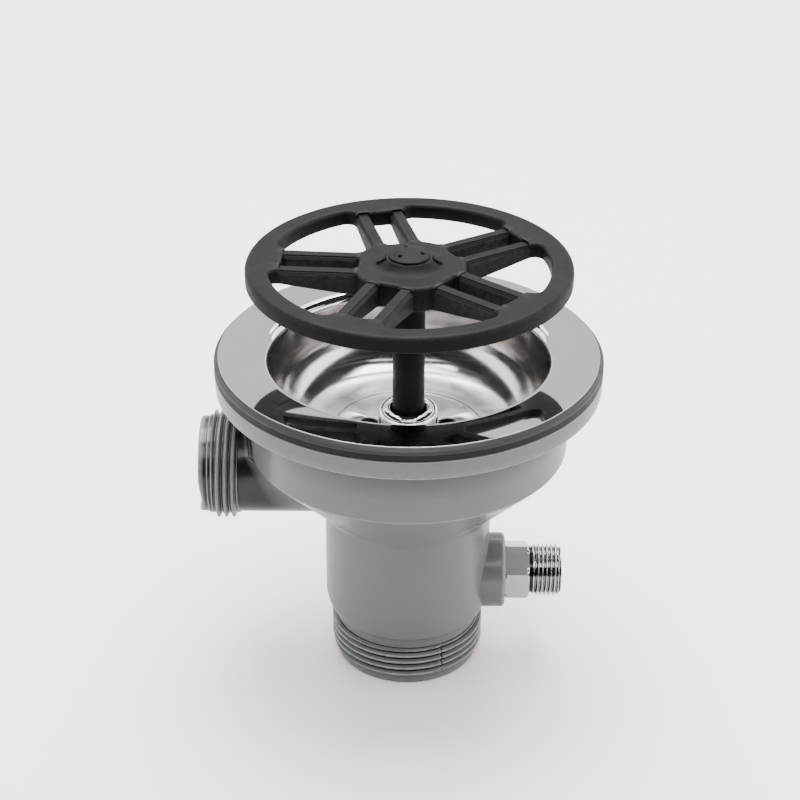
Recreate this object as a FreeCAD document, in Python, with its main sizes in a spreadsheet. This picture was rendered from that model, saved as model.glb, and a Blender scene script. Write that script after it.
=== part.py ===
import FreeCAD, Part
import math
import os

import Sketcher

# Sink waste with overflow, in millimetres. Z is the axis of the drain and points up, the origin is
# the centre of the outlet's lower end, +X points to the control fitting and -X to the overflow.

doc = FreeCAD.newDocument("SinkWaste")
sheet = doc.addObject("Spreadsheet::Sheet", "Sizes")


class Size:
    """A length that carries its value and the formula that ties it to the sheet of sizes."""

    def __init__(self, value, text):
        self.value = float(value)
        self.text = text

    def joined(self, other, sign, value, turned=False):
        theirs = other.text if isinstance(other, Size) else repr(other)
        pair = (theirs, self.text) if turned else (self.text, theirs)
        return Size(value, f"({pair[0]} {sign} {pair[1]})")

    def __add__(self, other):
        return self.joined(other, "+", self.value + number(other))

    def __radd__(self, other):
        return self.joined(other, "+", number(other) + self.value, turned=True)

    def __sub__(self, other):
        return self.joined(other, "-", self.value - number(other))

    def __rsub__(self, other):
        return self.joined(other, "-", number(other) - self.value, turned=True)

    def __mul__(self, other):
        return self.joined(other, "*", self.value * number(other))

    def __rmul__(self, other):
        return self.joined(other, "*", number(other) * self.value, turned=True)

    def __truediv__(self, other):
        return self.joined(other, "/", self.value / number(other))

    def __rtruediv__(self, other):
        return self.joined(other, "/", number(other) / self.value, turned=True)

    def __neg__(self):
        return Size(-self.value, f"(0 - {self.text})")


def number(size):
    """The plain value of a size or of a number."""
    return size.value if isinstance(size, Size) else float(size)


# Body: threaded outlet, neck, cone, bowl and rim
outlet_bore = 20.4  # radius of the bore through the outlet
outlet_lead = 3.8  # height of the plain lead-in ring below the outlet thread
outlet_root = 22.42  # root radius of the outlet thread
outlet_crest = 23.9  # crest radius of the outlet thread
thread_pitch = 2.309  # pitch of the two pipe threads
outlet_turns = 4
neck_start = 18.0  # height where the neck starts above the thread
neck_radius = 25.75  # outer radius of the neck
neck_top = 53.6  # height where the neck turns into the cone
neck_bevel = 1.25  # width of the bevel at the foot of the neck
neck_bevel_height = 3.0  # height of the bevel at the foot of the neck
edge_bevel = 0.5  # small bevel on turned and moulded ends
wall = 2.8  # wall of the neck and the bowl
bowl_radius = 48.3  # outer radius of the bowl
bowl_round = 2.5  # rounding between cone and bowl
rim_proud = 1.0  # how far the rim stands out past the flange
rim_base = 96.8  # height of the underside of the rim
rim_height = 5.8  # height of the rim at its outer edge
rim_bevel = 0.8  # bevel on the rim's upper edge
dish_fall = 2.3542  # fall of the flange from its edge to the cup's mouth

# Overflow spigot towards -X
spigot_height = 66.9  # height of the overflow spigot's axis
spigot_radius = 14.7  # outer radius of the spigot's tube
spigot_bore = 12.4  # radius of the spigot's bore
spigot_reach = 63.5  # distance of the spigot's mouth from the axis
spigot_collar = 51.7  # distance where the spigot's collar starts
spigot_root = 15.15  # root radius of the overflow thread
spigot_crest = 16.62  # crest radius of the overflow thread
spigot_pilot = 3.6  # length of the plain pilot in front of the thread
spigot_turns = 3

# Control boss towards +X, and the spider that carries the clamping screw
boss_height = 28.2  # height of the control shaft's axis
boss_radius = 11.8  # outer radius of the control boss
boss_reach = 30.8  # distance of the boss's face from the axis
boss_round = 1.4  # rounding of the boss's outer edge
hub_radius = 10.6  # outer radius of the spider's hub
hub_base = 52.0  # height of the hub's lower face
hub_bevel = 1.0  # bevel on the hub's edges
web_thickness = 3.0  # thickness of the spider's webs
web_base = 58.0  # height of the webs' lower edge
web_top = 73.0  # height of the webs' upper edge
web_count = 3

# Strainer cup of thin sheet, and the gaskets under its flange
sheet_gauge = 0.6  # thickness of the cup's sheet
flange_width = 14.9  # radial width of the cup's flange
flange_top = 107.0  # height of the flange's outer edge
cup_room = 3.4  # radial space between the cup's mouth and the bowl's inner face
mouth_round = 1.6  # rounding from flange to cup wall
cup_lean = 1.2  # how far the cup's wall leans in from the mouth to the floor
cup_round = 15.0  # rounding from cup wall to floor
cup_floor = 79.7  # height of the cup's floor, upper face
floor_step = 0.5  # height of the step round the floor
floor_step_radius = 22.6  # radius of the step round the floor
slot_count = 5  # number of drain slots
slot_width = 5.0  # width of a drain slot
slot_inner = 9.7  # distance of a slot's inner end from the axis
slot_outer = 15.5  # distance of a slot's outer end from the axis
slot_turn = 18.0  # direction of the first slot, degrees from +X
seat_gap = 0.03  # gap between pressed seats
blind_gap = 0.3  # free depth behind parts that sit in the hub
lower_gasket_height = 1.95  # thickness of the lower gasket
lower_gasket_proud = 0.3  # how far the lower gasket stands out past the rim
upper_gasket_proud = 0.4  # how far the upper gasket stands out past the flange

# Hollow clamping screw, its insert and the stem's guide bush
screw_head_radius = 8.95  # outer radius of the clamping screw's head
screw_head_height = 8.1  # height of the clamping screw's head
screw_head_round = 1.7  # rounding of the head's crown
screw_radius = 6.95  # outer radius of the clamping screw's shank
screw_bore = 5.4  # radius of the hole through the clamping screw
screw_length = 11.5  # length of the clamping screw's shank
screw_slot = 2.0  # width of the driver slot
screw_slot_turn = 11.6  # direction of the driver slot, degrees from +X
floor_hole_gap = 0.35  # clearance of the shank in the cup's floor
insert_radius = 8.6  # outer radius of the threaded insert
insert_height = 12.5  # height of the threaded insert
insert_groove = 0.5  # depth and half height of the insert's locking groove
thread_gap = 0.08  # gap between mating thread flanks
bush_radius = 6.6  # outer radius of the guide bush
bush_flange = 8.5  # radius of the guide bush's flange
bush_flange_height = 1.5  # thickness of the guide bush's flange
bush_height = 10.0  # length of the guide bush above its flange
running_gap = 0.08  # running clearance of the stem, the key and the shaft

# Stem with keyway, foot and clip
stem_radius = 4.85  # radius of the stem
stem_sink = 4.25  # depth of the stem's upper end below the wheel's top
stem_spigot_radius = 3.0  # radius of the stem's lower spigot
stem_spigot_length = 4.9  # length of the stem's lower spigot
key_width = 2.0  # width of the stem's keyway
key_depth = 1.0  # depth of the stem's keyway
key_margin = 0.8  # spare length of the keyway above the lowered bush tab
foot_length = 35.0  # length of the stem's foot along Y
foot_width = 13.0  # width of the stem's foot along X
foot_height = 3.0  # thickness of the stem's foot
foot_round = 4.0  # corner rounding of the stem's foot
clip_height = 0.7  # thickness of the retaining clips
clip_ring = 1.9  # radial width of the retaining clips
clip_depth = 0.5  # depth of the clips' grooves
clip_mouth = 0.8  # half width of a clip's mouth as a share of its bore radius

# Carrier wheel, hub cap and screw
wheel_radius = 48.1  # outer radius of the carrier wheel
wheel_top = 135.75  # height of the wheel's rim
wheel_rim_height = 4.7  # height of the wheel's rim
wheel_round = 1.3  # rounding of the rim's outer edge
land_drop = 0.6  # drop of the ribs' lands below the rim
land_radius = 42.3  # radius where the lands meet the rim
opening_outer = 41.5  # outer radius of the wheel's openings
opening_inner = 16.7  # inner radius of the wheel's openings
opening_round_outer = 3.0  # corner rounding at the openings' outer ends
opening_round_inner = 1.0  # corner rounding at the openings' inner ends
pair_count = 5  # number of rib pairs
pair_turn = 104.0  # direction of the first rib pair, degrees from +X
rib_offset = 5.4  # distance of a rib's middle from the axis of its pair
rib_width = 4.3  # width of a rib
rib_bevel = 0.65  # bevel along the ribs' upper edges
rib_slot_inner = 15.0  # inner end of the slot between two ribs
rib_slot_outer = 37.4  # outer end of the slot between two ribs
rib_slot_round = 1.0  # corner rounding of the slot between two ribs
wheel_hub_depth = 8.55  # depth of the hub's underside below the wheel's top
wheel_hub_radius = 12.0  # radius of the flat under the hub
cone_radius = 11.3  # radius of the hub cone's foot
cone_top_radius = 6.6  # radius of the hub cone's top
cone_rise = 1.85  # rise of the hub cone above the wheel's top
cone_bend_radius = 8.0  # radius where the hub cone's flank turns steeper
recess_radius = 4.9  # radius of the recess under the hub cap
recess_floor = 1.6  # thickness of the recess's floor over the stem
cap_radius = 6.3  # radius of the hub cap
cap_edge = 0.65  # thickness of the hub cap's edge
cap_dome = 0.85  # rise of the hub cap's dome
cap_flat = 2.8  # radius where the dome's slope would meet its top
cap_gap = 0.2  # slit between hub cone and hub cap
cap_plug_gap = 0.1  # clearance of the cap's plug in its recess
cap_plug_length = 2.0  # length of the cap's plug below the slit
cap_hole_radius = 0.45  # radius of the cap's three small holes
cap_hole_place = 3.9  # distance of the small holes from the axis
cap_hole_turn = 106.0  # direction of the first small hole, degrees from +X
cap_hole_count = 3
fixing_radius = 2.0  # radius of the fixing screw's shank
fixing_length = 11.0  # length of the fixing screw below its head
fixing_head_radius = 3.6  # radius of the fixing screw's head
fixing_head_height = 2.2  # height of the fixing screw's head
fixing_head_round = 0.9  # rounding of the fixing screw's head
fixing_tip = 1.0  # length of the fixing screw's pointed tip
fixing_gap = 0.05  # clearance round the fixing screw's shank
cross_blade = 0.5  # half width of the fixing screw's cross slot
cross_depth = 1.3  # depth of the fixing screw's cross slot

# Control fitting, shaft, crank arm and seals
hex_flats = 17.0  # width over the hexagon's flats
hex_length = 7.6  # length of the hexagon
fitting_neck = 7.2  # radius of the relief behind the control thread
fitting_relief = 1.6  # length of the relief behind the control thread
control_thread = 8.33  # crest radius of the control thread
control_length = 8.6  # length of the control thread
control_bevel = 0.7  # bevel on the control thread's end
shank_radius = 7.0  # radius of the fitting's shank in the boss
shank_length = 9.3  # length of the fitting's shank in the boss
shaft_radius = 3.9  # radius of the control shaft
shaft_inner = 7.4  # distance of the shaft's inner end from the axis
drive_length = 5.0  # length of the square end that takes the control
drive_inset = 2.6  # how far the square end sits inside the control thread's end
drive_room = 2.0  # free space round the square end in the fitting's mouth
square_side = 4.6  # side of the shaft's square ends
seal_section = 0.75  # radius of a shaft seal's section
seal_gap = 0.12  # clearance of a shaft seal in the fitting's bore
seal_place = 30.0  # distance of the inner shaft seal from the axis
seal_spacing = 5.0  # distance between the two shaft seals
washer_height = 1.2  # thickness of the fitting's washer
washer_radius = 8.4  # outer radius of the fitting's washer
washer_gap = 0.1  # clearance round the fitting's washer
crank_radius = 14.15  # distance of the crank pin from the shaft's axis
crank_rest = 30.0  # crank's rest angle from straight up, degrees
crank_place = 9.0  # distance of the crank arm's inner face from the axis
crank_thickness = 3.0  # thickness of the crank arm
crank_half_width = 4.6  # half width of the crank arm
pin_radius = 2.5  # radius of the crank pin
pin_length = 13.5  # length of the crank pin from the arm
foot_clearance = 1.2  # gap between crank pin and stem foot at rest

# Every driving dimension goes into the sheet, and its name then stands for the bound size
driving = {name: value for name, value in globals().items() if type(value) in (int, float)}
for row, (alias, value) in enumerate(driving.items(), start=1):
    sheet.set(f"A{row}", alias.replace("_", " "))
    sheet.set(f"B{row}", str(value))
    sheet.setAlias(f"B{row}", alias)
    globals()[alias] = Size(value, f"Sizes.{alias}")

nearly_full = 0.96  # share of the largest possible corner rounding, which leaves a short flat
flank = 0.42  # half width of a thread ridge's foot, as a share of the pitch
crest_half = 0.1  # half width of a thread ridge's crest, as a share of the pitch

doc.recompute()
made = []


def body_named(name):
    """Start one piece, with its own origin planes."""
    body = doc.addObject("PartDesign::Body", name + "_body")
    body.Label = name
    made.append((name, body))
    return body


def origin_plane(body, role):
    """One of the three origin planes of a piece."""
    for feature in body.Origin.OriginFeatures:
        if feature.Role == role:
            return feature
    raise RuntimeError(f"{body.Label} has no plane {role}")


def sketch_on(body, name, role="XZ_Plane", lift=0.0, along=0.0, turn=0.0):
    """A sketch on an origin plane, moved along its second axis, along its normal or turned in it."""
    sketch = body.newObject("Sketcher::SketchObject", f"{body.Label}_{name}")
    sketch.AttachmentSupport = [(origin_plane(body, role), "")]
    sketch.MapMode = "FlatFace"
    base = FreeCAD.Vector(0, number(lift), number(along))
    turned = FreeCAD.Rotation(FreeCAD.Vector(0, 0, 1), number(turn))
    sketch.AttachmentOffset = FreeCAD.Placement(base, turned)
    if isinstance(lift, Size):
        sketch.setExpression("AttachmentOffset.Base.y", lift.text)
    if isinstance(along, Size):
        sketch.setExpression("AttachmentOffset.Base.z", along.text)
    if isinstance(turn, Size):
        sketch.setExpression("AttachmentOffset.Rotation.Angle", turn.text)
    return sketch


def tie(sketch, constraint, size):
    """Add a constraint and bind it to its size where the size is not a plain number."""
    index = sketch.addConstraint(constraint)
    if isinstance(size, Size):
        sketch.setExpression(f"Constraints[{index}]", size.text)


def place_point(sketch, geometry, end, across, up):
    """Hold a point at its distances across and up from the sketch's origin."""
    if number(across) == 0:
        sketch.addConstraint(Sketcher.Constraint("PointOnObject", geometry, end, -2))
    else:
        tie(sketch, Sketcher.Constraint("DistanceX", -1, 1, geometry, end, number(across)), across)
    if number(up) == 0:
        sketch.addConstraint(Sketcher.Constraint("PointOnObject", geometry, end, -1))
    else:
        tie(sketch, Sketcher.Constraint("DistanceY", -1, 1, geometry, end, number(up)), up)


def corner_arc(before, corner, after, radius):
    """The arc that rounds a corner: centre, tangent points and whether the path turns left."""
    back = (before - corner).normalize()
    ahead = (after - corner).normalize()
    half = back.getAngle(ahead) / 2
    reach = radius / math.tan(half)
    middle = (back + ahead).normalize()
    centre = corner + middle * (radius / math.sin(half))
    left = back.cross(ahead).z < 0
    return centre, corner + back * reach, corner + ahead * reach, left


def outline(sketch, points):
    """Draw a closed outline. A point is (across, up), or (across, up, rounding) for a round corner."""
    count = len(points)
    spots = [FreeCAD.Vector(number(point[0]), number(point[1]), 0) for point in points]
    arcs = {}
    for index, point in enumerate(points):
        if len(point) == 3:
            before = spots[index - 1]
            after = spots[(index + 1) % count]
            arcs[index] = corner_arc(before, spots[index], after, number(point[2]))
    lines = []
    for index in range(count):
        follow = (index + 1) % count
        start = arcs[index][2] if index in arcs else spots[index]
        stop = arcs[follow][1] if follow in arcs else spots[follow]
        lines.append(sketch.addGeometry(Part.LineSegment(start, stop), False))
    for index, point in enumerate(points):
        arriving = lines[index - 1]
        leaving = lines[index]
        if index not in arcs:
            sketch.addConstraint(Sketcher.Constraint("Coincident", arriving, 2, leaving, 1))
            place_point(sketch, leaving, 1, point[0], point[1])
            continue
        centre, start, stop, left = arcs[index]
        circle = Part.Circle(centre, FreeCAD.Vector(0, 0, 1), number(point[2]))
        first, last = (start, stop) if left else (stop, start)
        begin = math.atan2(first.y - centre.y, first.x - centre.x)
        end = math.atan2(last.y - centre.y, last.x - centre.x)
        arc = sketch.addGeometry(Part.ArcOfCircle(circle, begin, end), False)
        corner = sketch.addGeometry(Part.Point(spots[index]), True)
        arc_in, arc_out = (1, 2) if left else (2, 1)
        sketch.addConstraint(Sketcher.Constraint("Tangent", arriving, 2, arc, arc_in))
        sketch.addConstraint(Sketcher.Constraint("Tangent", leaving, 1, arc, arc_out))
        sketch.addConstraint(Sketcher.Constraint("PointOnObject", corner, 1, arriving))
        sketch.addConstraint(Sketcher.Constraint("PointOnObject", corner, 1, leaving))
        place_point(sketch, corner, 1, point[0], point[1])
        tie(sketch, Sketcher.Constraint("Radius", arc, number(point[2])), point[2])


def ring(sketch, across, up, radius):
    """Draw a circle at a place in the sketch."""
    centre = FreeCAD.Vector(number(across), number(up), 0)
    circle = sketch.addGeometry(Part.Circle(centre, FreeCAD.Vector(0, 0, 1), number(radius)), False)
    place_point(sketch, circle, 3, across, up)
    tie(sketch, Sketcher.Constraint("Radius", circle, number(radius)), radius)


def finish_feature(body, feature, grows):
    """Recompute, make the feature the piece's tip and see that it added or removed material."""
    before = finish_feature.volumes.get(body.Name, 0.0)
    body.Tip = feature
    doc.recompute()
    volume = body.Shape.Volume
    if feature.Shape.isNull() or (volume <= before) == grows:
        raise RuntimeError(f"{feature.Label} changed {before:.1f} to {volume:.1f} mm3")
    finish_feature.volumes[body.Name] = volume
    return feature


finish_feature.volumes = {}


def revolved(body, name, points, axis="V_Axis", lift=0.0, cut=False):
    """Turn an outline in the XZ plane all the way round the axis, as material or as a cut."""
    sketch = sketch_on(body, name + "_profile", lift=lift)
    outline(sketch, points)
    kind = "PartDesign::Groove" if cut else "PartDesign::Revolution"
    feature = body.newObject(kind, f"{body.Label}_{name}")
    feature.Profile = sketch
    feature.ReferenceAxis = (sketch, [axis])
    feature.Angle = 360
    return finish_feature(body, feature, not cut)


def raised(body, name, sketch, height, both_ways=False, turned_back=False):
    """Pad a sketch along its normal."""
    feature = body.newObject("PartDesign::Pad", f"{body.Label}_{name}")
    feature.Profile = sketch
    feature.Length = number(height)
    if isinstance(height, Size):
        feature.setExpression("Length", height.text)
    feature.SideType = "Symmetric" if both_ways else "One side"
    feature.Reversed = turned_back
    return finish_feature(body, feature, True)


def cut_out(body, name, sketch, depth, both_ways=False, turned_back=False):
    """Cut a sketch out of a piece, against its normal unless turned back."""
    feature = body.newObject("PartDesign::Pocket", f"{body.Label}_{name}")
    feature.Profile = sketch
    feature.Length = number(depth)
    if isinstance(depth, Size):
        feature.setExpression("Length", depth.text)
    feature.SideType = "Symmetric" if both_ways else "One side"
    feature.Reversed = turned_back
    return finish_feature(body, feature, False)


def repeated(body, name, feature, count, grows):
    """Repeat a feature round the Z axis."""
    pattern = body.newObject("PartDesign::PolarPattern", f"{body.Label}_{name}")
    pattern.Originals = [feature]
    pattern.Axis = (origin_plane(body, "Z_Axis"), [""])
    pattern.Angle = 360
    pattern.Occurrences = int(number(count))
    if isinstance(count, Size):
        pattern.setExpression("Occurrences", count.text)
    return finish_feature(body, pattern, grows)


def edges_where(shape, test):
    """Names of the edges that pass a test on their curve and their middle point."""
    names = []
    for index, edge in enumerate(shape.Edges):
        middle = edge.valueAt((edge.FirstParameter + edge.LastParameter) / 2)
        if test(edge, middle):
            names.append(f"Edge{index + 1}")
    return names


def dressed(body, name, kind, base, edges, size):
    """Fillet or chamfer some edges of the last feature."""
    feature = body.newObject(f"PartDesign::{kind}", f"{body.Label}_{name}")
    feature.Base = (base, edges)
    field = "Radius" if kind == "Fillet" else "Size"
    setattr(feature, field, number(size))
    if isinstance(size, Size):
        feature.setExpression(field, size.text)
    body.Tip = feature
    doc.recompute()
    finish_feature.volumes[body.Name] = body.Shape.Volume
    return feature


def thread_points(start, step, turns, root, crest):
    """Ring ridges of a pipe thread as (place, radius) pairs, each with a narrow flat crest."""
    points = []
    for turn in range(int(number(turns))):
        middle = start + step * (turn + 0.5)
        points.append((middle - step * flank, root))
        points.append((middle - step * crest_half, crest))
        points.append((middle + step * crest_half, crest))
        points.append((middle + step * flank, root))
    return points


def clip(name, bore, role, place, lift=0.0):
    """A retaining clip: a flat ring with a mouth on one side."""
    piece = body_named(name)
    flat = sketch_on(piece, "flat", role, lift=lift, along=place)
    ring(flat, 0, 0, bore + clip_ring)
    ring(flat, 0, 0, bore)
    raised(piece, "ring", flat, clip_height)
    mouth = sketch_on(piece, "mouth_profile", role, lift=lift, along=place)
    half = bore * clip_mouth
    reach = bore + clip_ring * 2
    outline(mouth, [(-half, 0), (half, 0), (half, reach), (-half, reach)])
    cut_out(piece, "mouth", mouth, clip_height, turned_back=True)


# Places that several pieces share
bowl_inner = bowl_radius - wall
mouth_radius = bowl_inner - cup_room
cup_foot_radius = mouth_radius - cup_lean
flange_radius = mouth_radius + flange_width
rim_radius = flange_radius + rim_proud
lower_gasket_radius = rim_radius + lower_gasket_proud
upper_gasket_radius = flange_radius + upper_gasket_proud
dish_slope = dish_fall / flange_width
stem_top = wheel_top - stem_sink
wheel_hub_base = wheel_top - wheel_hub_depth
cone_top = wheel_top + cone_rise
rim_top = rim_base + rim_height
neck_inner = neck_radius - wall
bowl_base = neck_top + bowl_radius - neck_radius
neck_joint = neck_top - bowl_round
cone_shift = wall * math.sqrt(2)
cavity_cone_foot = neck_top + cone_shift - wall
cavity_cone_top = cavity_cone_foot + bowl_inner - neck_inner
flange_under = flange_top - sheet_gauge
hub_top = cup_floor - sheet_gauge
bush_bore_base = hub_base + bush_height + blind_gap
insert_base = hub_top - insert_height - blind_gap
crank_rise = crank_radius * math.cos(math.radians(crank_rest.value))
pin_height = boss_height + crank_rise
lift_travel = crank_rise * 2
foot_base = pin_height + pin_radius + foot_clearance
screw_foot = cup_floor - screw_length
fitting_end = boss_reach + hex_length + fitting_relief + control_length
shaft_outer = fitting_end - drive_inset
fitting_inner = boss_reach - shank_length
shaft_bore = shaft_radius + running_gap


def dished(radius, height_at_rim):
    """Height of a dished face, which falls towards the axis from the flange's edge."""
    return height_at_rim - (flange_radius - radius) * dish_slope


# Bowl of the waste with its cone and its rim. The moulding is built as five pieces, so that each
# stays simple: bowl, outlet with neck, overflow spigot, control boss and spider.
body = body_named("body")
bowl_profile = [
    (neck_radius, neck_joint + seat_gap),
    (neck_radius, neck_top, bowl_round),
    (bowl_radius, bowl_base, bowl_round),
    (bowl_radius, rim_base),
    (rim_radius, rim_base),
    (rim_radius, rim_top - rim_bevel),
    (rim_radius - rim_bevel, rim_top),
    (bowl_inner, dished(bowl_inner, rim_top)),
    (bowl_inner, cavity_cone_top),
    (neck_inner, cavity_cone_foot),
    (neck_inner, neck_joint + seat_gap),
]
revolved(body, "bowl", bowl_profile)
bore_profile = [(-spigot_reach - wall, 0), (-neck_inner + wall, 0)]
bore_profile += [(-neck_inner + wall, spigot_bore), (-spigot_reach - wall, spigot_bore)]
revolved(body, "overflow_hole", bore_profile, axis="H_Axis", lift=spigot_height, cut=True)

# Threaded outlet and neck, with the hole for the control fitting
neck = body_named("outlet_neck")
neck_profile = [(outlet_bore, 0), (outlet_root - edge_bevel, 0), (outlet_root, edge_bevel)]
ridges = thread_points(outlet_lead, thread_pitch, outlet_turns, outlet_root, outlet_crest)
neck_profile += [(radius, place) for place, radius in ridges]
neck_profile += [
    (outlet_root, neck_start),
    (neck_radius - neck_bevel, neck_start),
    (neck_radius, neck_start + neck_bevel_height),
    (neck_radius, neck_joint),
    (neck_inner, neck_joint),
    (neck_inner, neck_start + neck_inner - outlet_bore),
    (outlet_bore, neck_start),
]
revolved(neck, "tube", neck_profile)
shank_hole = shank_radius + thread_gap
hole_profile = [(0, 0), (boss_reach + wall, 0), (boss_reach + wall, shank_hole), (0, shank_hole)]
revolved(neck, "control_hole", hole_profile, axis="H_Axis", lift=boss_height, cut=True)

# Overflow spigot, a threaded tube that ends on the bowl's outer face
overflow = body_named("overflow_spigot")
spigot_profile = [(-hub_radius, spigot_bore), (-hub_radius, spigot_radius)]
spigot_profile += [(-spigot_collar, spigot_radius), (-spigot_collar, spigot_root)]
spigot_thread_end = spigot_reach - spigot_pilot
spigot_thread_start = spigot_thread_end - thread_pitch * spigot_turns
ridges = thread_points(spigot_thread_start, thread_pitch, spigot_turns, spigot_root, spigot_crest)
spigot_profile += [(-place, radius) for place, radius in ridges]
spigot_profile += [(-spigot_reach, spigot_root), (-spigot_reach, spigot_bore)]
revolved(overflow, "tube", spigot_profile, axis="H_Axis", lift=spigot_height)
bowl_saddle = [
    (0, neck_start),
    (neck_radius + seat_gap, neck_start),
    (neck_radius + seat_gap, neck_top, bowl_round),
    (bowl_radius + seat_gap, bowl_base, bowl_round),
    (bowl_radius + seat_gap, rim_base),
    (0, rim_base),
]
revolved(overflow, "saddle", bowl_saddle, cut=True)

# Control boss, a short tube on the neck with a counterbore for the washer
boss = body_named("control_boss")
boss_profile = [
    (hub_radius, shank_hole),
    (boss_reach - washer_height, shank_hole),
    (boss_reach - washer_height, washer_radius + washer_gap),
    (boss_reach, washer_radius + washer_gap),
    (boss_reach, boss_radius, boss_round),
    (hub_radius, boss_radius),
]
revolved(boss, "tube", boss_profile, axis="H_Axis", lift=boss_height)
neck_saddle = [
    (0, 0),
    (outlet_root + seat_gap, 0),
    (outlet_root + seat_gap, neck_start - seat_gap),
    (neck_radius - neck_bevel + seat_gap, neck_start - seat_gap),
    (neck_radius + seat_gap, neck_start + neck_bevel_height),
    (neck_radius + seat_gap, neck_top),
    (0, neck_top),
]
revolved(boss, "saddle", neck_saddle, cut=True)

# Spider that holds the clamping screw: a hub on three webs that end on the cone's inner face
spider = body_named("spider")
hub_profile = [
    (bush_radius, hub_base),
    (hub_radius - hub_bevel, hub_base),
    (hub_radius, hub_base + hub_bevel),
    (hub_radius, hub_top - hub_bevel),
    (hub_radius - hub_bevel, hub_top),
    (insert_radius, hub_top),
    (insert_radius, insert_base),
    (screw_radius, insert_base),
    (screw_radius, bush_bore_base),
    (bush_radius, bush_bore_base),
]
revolved(spider, "hub", hub_profile)
web_sketch = sketch_on(spider, "web_profile")
web_root = (insert_radius + hub_radius) / 2
outline(web_sketch, [
    (web_root, web_base), (bowl_inner, web_base), (bowl_inner, web_top), (web_root, web_top),
])
web = raised(spider, "web", web_sketch, web_thickness, both_ways=True)
repeated(spider, "webs", web, web_count, True)
cone_seat = [
    (neck_inner - seat_gap, neck_start),
    (neck_inner - seat_gap, cavity_cone_foot),
    (bowl_inner - seat_gap, cavity_cone_top),
    (bowl_inner - seat_gap, rim_top),
    (rim_radius, rim_top),
    (rim_radius, neck_start),
]
revolved(spider, "cone_seat", cone_seat, cut=True)

# Strainer cup, pressed from one sheet
cup = body_named("strainer_cup")
step_top = cup_floor + floor_step
floor_under = cup_floor - sheet_gauge
mouth_top = dished(mouth_radius, flange_top)
mouth_under = dished(mouth_radius + sheet_gauge, flange_under)
cup_profile = [
    (flange_radius, flange_top),
    (mouth_radius, mouth_top, mouth_round),
    (cup_foot_radius, step_top, cup_round),
    (floor_step_radius + sheet_gauge, step_top),
    (floor_step_radius, cup_floor),
    (screw_radius + floor_hole_gap, cup_floor),
    (screw_radius + floor_hole_gap, floor_under),
    (floor_step_radius + sheet_gauge, floor_under),
    (floor_step_radius + sheet_gauge * 2, step_top - sheet_gauge),
    (cup_foot_radius + sheet_gauge, step_top - sheet_gauge, cup_round + sheet_gauge),
    (mouth_radius + sheet_gauge, mouth_under, mouth_round - sheet_gauge),
    (flange_radius, flange_under),
]
revolved(cup, "pressing", cup_profile)
slot_sketch = sketch_on(cup, "slot_profile", "XY_Plane", along=floor_under, turn=slot_turn)
half_slot = slot_width / 2
slot_round = half_slot * nearly_full
slot_points = [(slot_inner, -half_slot), (slot_outer, -half_slot, slot_round)]
slot_points += [(slot_outer, half_slot, slot_round), (slot_inner, half_slot)]
outline(slot_sketch, slot_points)
slot = cut_out(cup, "slot", slot_sketch, sheet_gauge * 2, turned_back=True)
repeated(cup, "slots", slot, slot_count, False)

# Two gaskets between the flange and the rim, dished as the flange is
lower_top = rim_top + lower_gasket_height + seat_gap


def gasket(name, outer, base, top):
    """A flat rubber ring that follows the dish of the flange."""
    piece = body_named(name)
    corners = [(bowl_inner, dished(bowl_inner, base)), (outer, dished(outer, base))]
    corners += [(outer, dished(outer, top)), (bowl_inner, dished(bowl_inner, top))]
    revolved(piece, "ring", corners)


gasket("lower_gasket", lower_gasket_radius, rim_top + seat_gap, lower_top)
gasket("upper_gasket", upper_gasket_radius, lower_top + seat_gap, flange_under - seat_gap)

# Hollow clamping screw with one driver slot
screw = body_named("collar_screw")
head_top = cup_floor + screw_head_height
screw_points = [
    (screw_bore, screw_foot),
    (screw_radius - edge_bevel, screw_foot),
    (screw_radius, screw_foot + edge_bevel),
    (screw_radius, cup_floor),
    (screw_head_radius, cup_floor),
    (screw_head_radius, head_top, screw_head_round),
    (screw_bore, head_top, screw_head_round),
]
revolved(screw, "turning", screw_points)
driver = sketch_on(screw, "driver_profile", "XY_Plane", along=head_top, turn=screw_slot_turn)
half_driver = screw_slot / 2
driver_reach = screw_head_radius * 2
driver_points = [(-driver_reach, -half_driver), (driver_reach, -half_driver)]
driver_points += [(driver_reach, half_driver), (-driver_reach, half_driver)]
outline(driver, driver_points)
cut_out(screw, "driver_slot", driver, screw_slot)

# Threaded insert in the hub, with a groove that locks it in the moulding
insert = body_named("threaded_insert")
insert_bore = screw_radius + thread_gap
insert_outer = insert_radius - seat_gap
insert_top = insert_base + insert_height
insert_middle = insert_base + insert_height / 2
insert_points = [
    (insert_bore, insert_base + seat_gap),
    (insert_outer, insert_base + seat_gap),
    (insert_outer, insert_middle - insert_groove * 2),
    (insert_outer - insert_groove, insert_middle - insert_groove),
    (insert_outer - insert_groove, insert_middle + insert_groove),
    (insert_outer, insert_middle + insert_groove * 2),
    (insert_outer, insert_top),
    (insert_bore, insert_top),
]
revolved(insert, "turning", insert_points)

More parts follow.
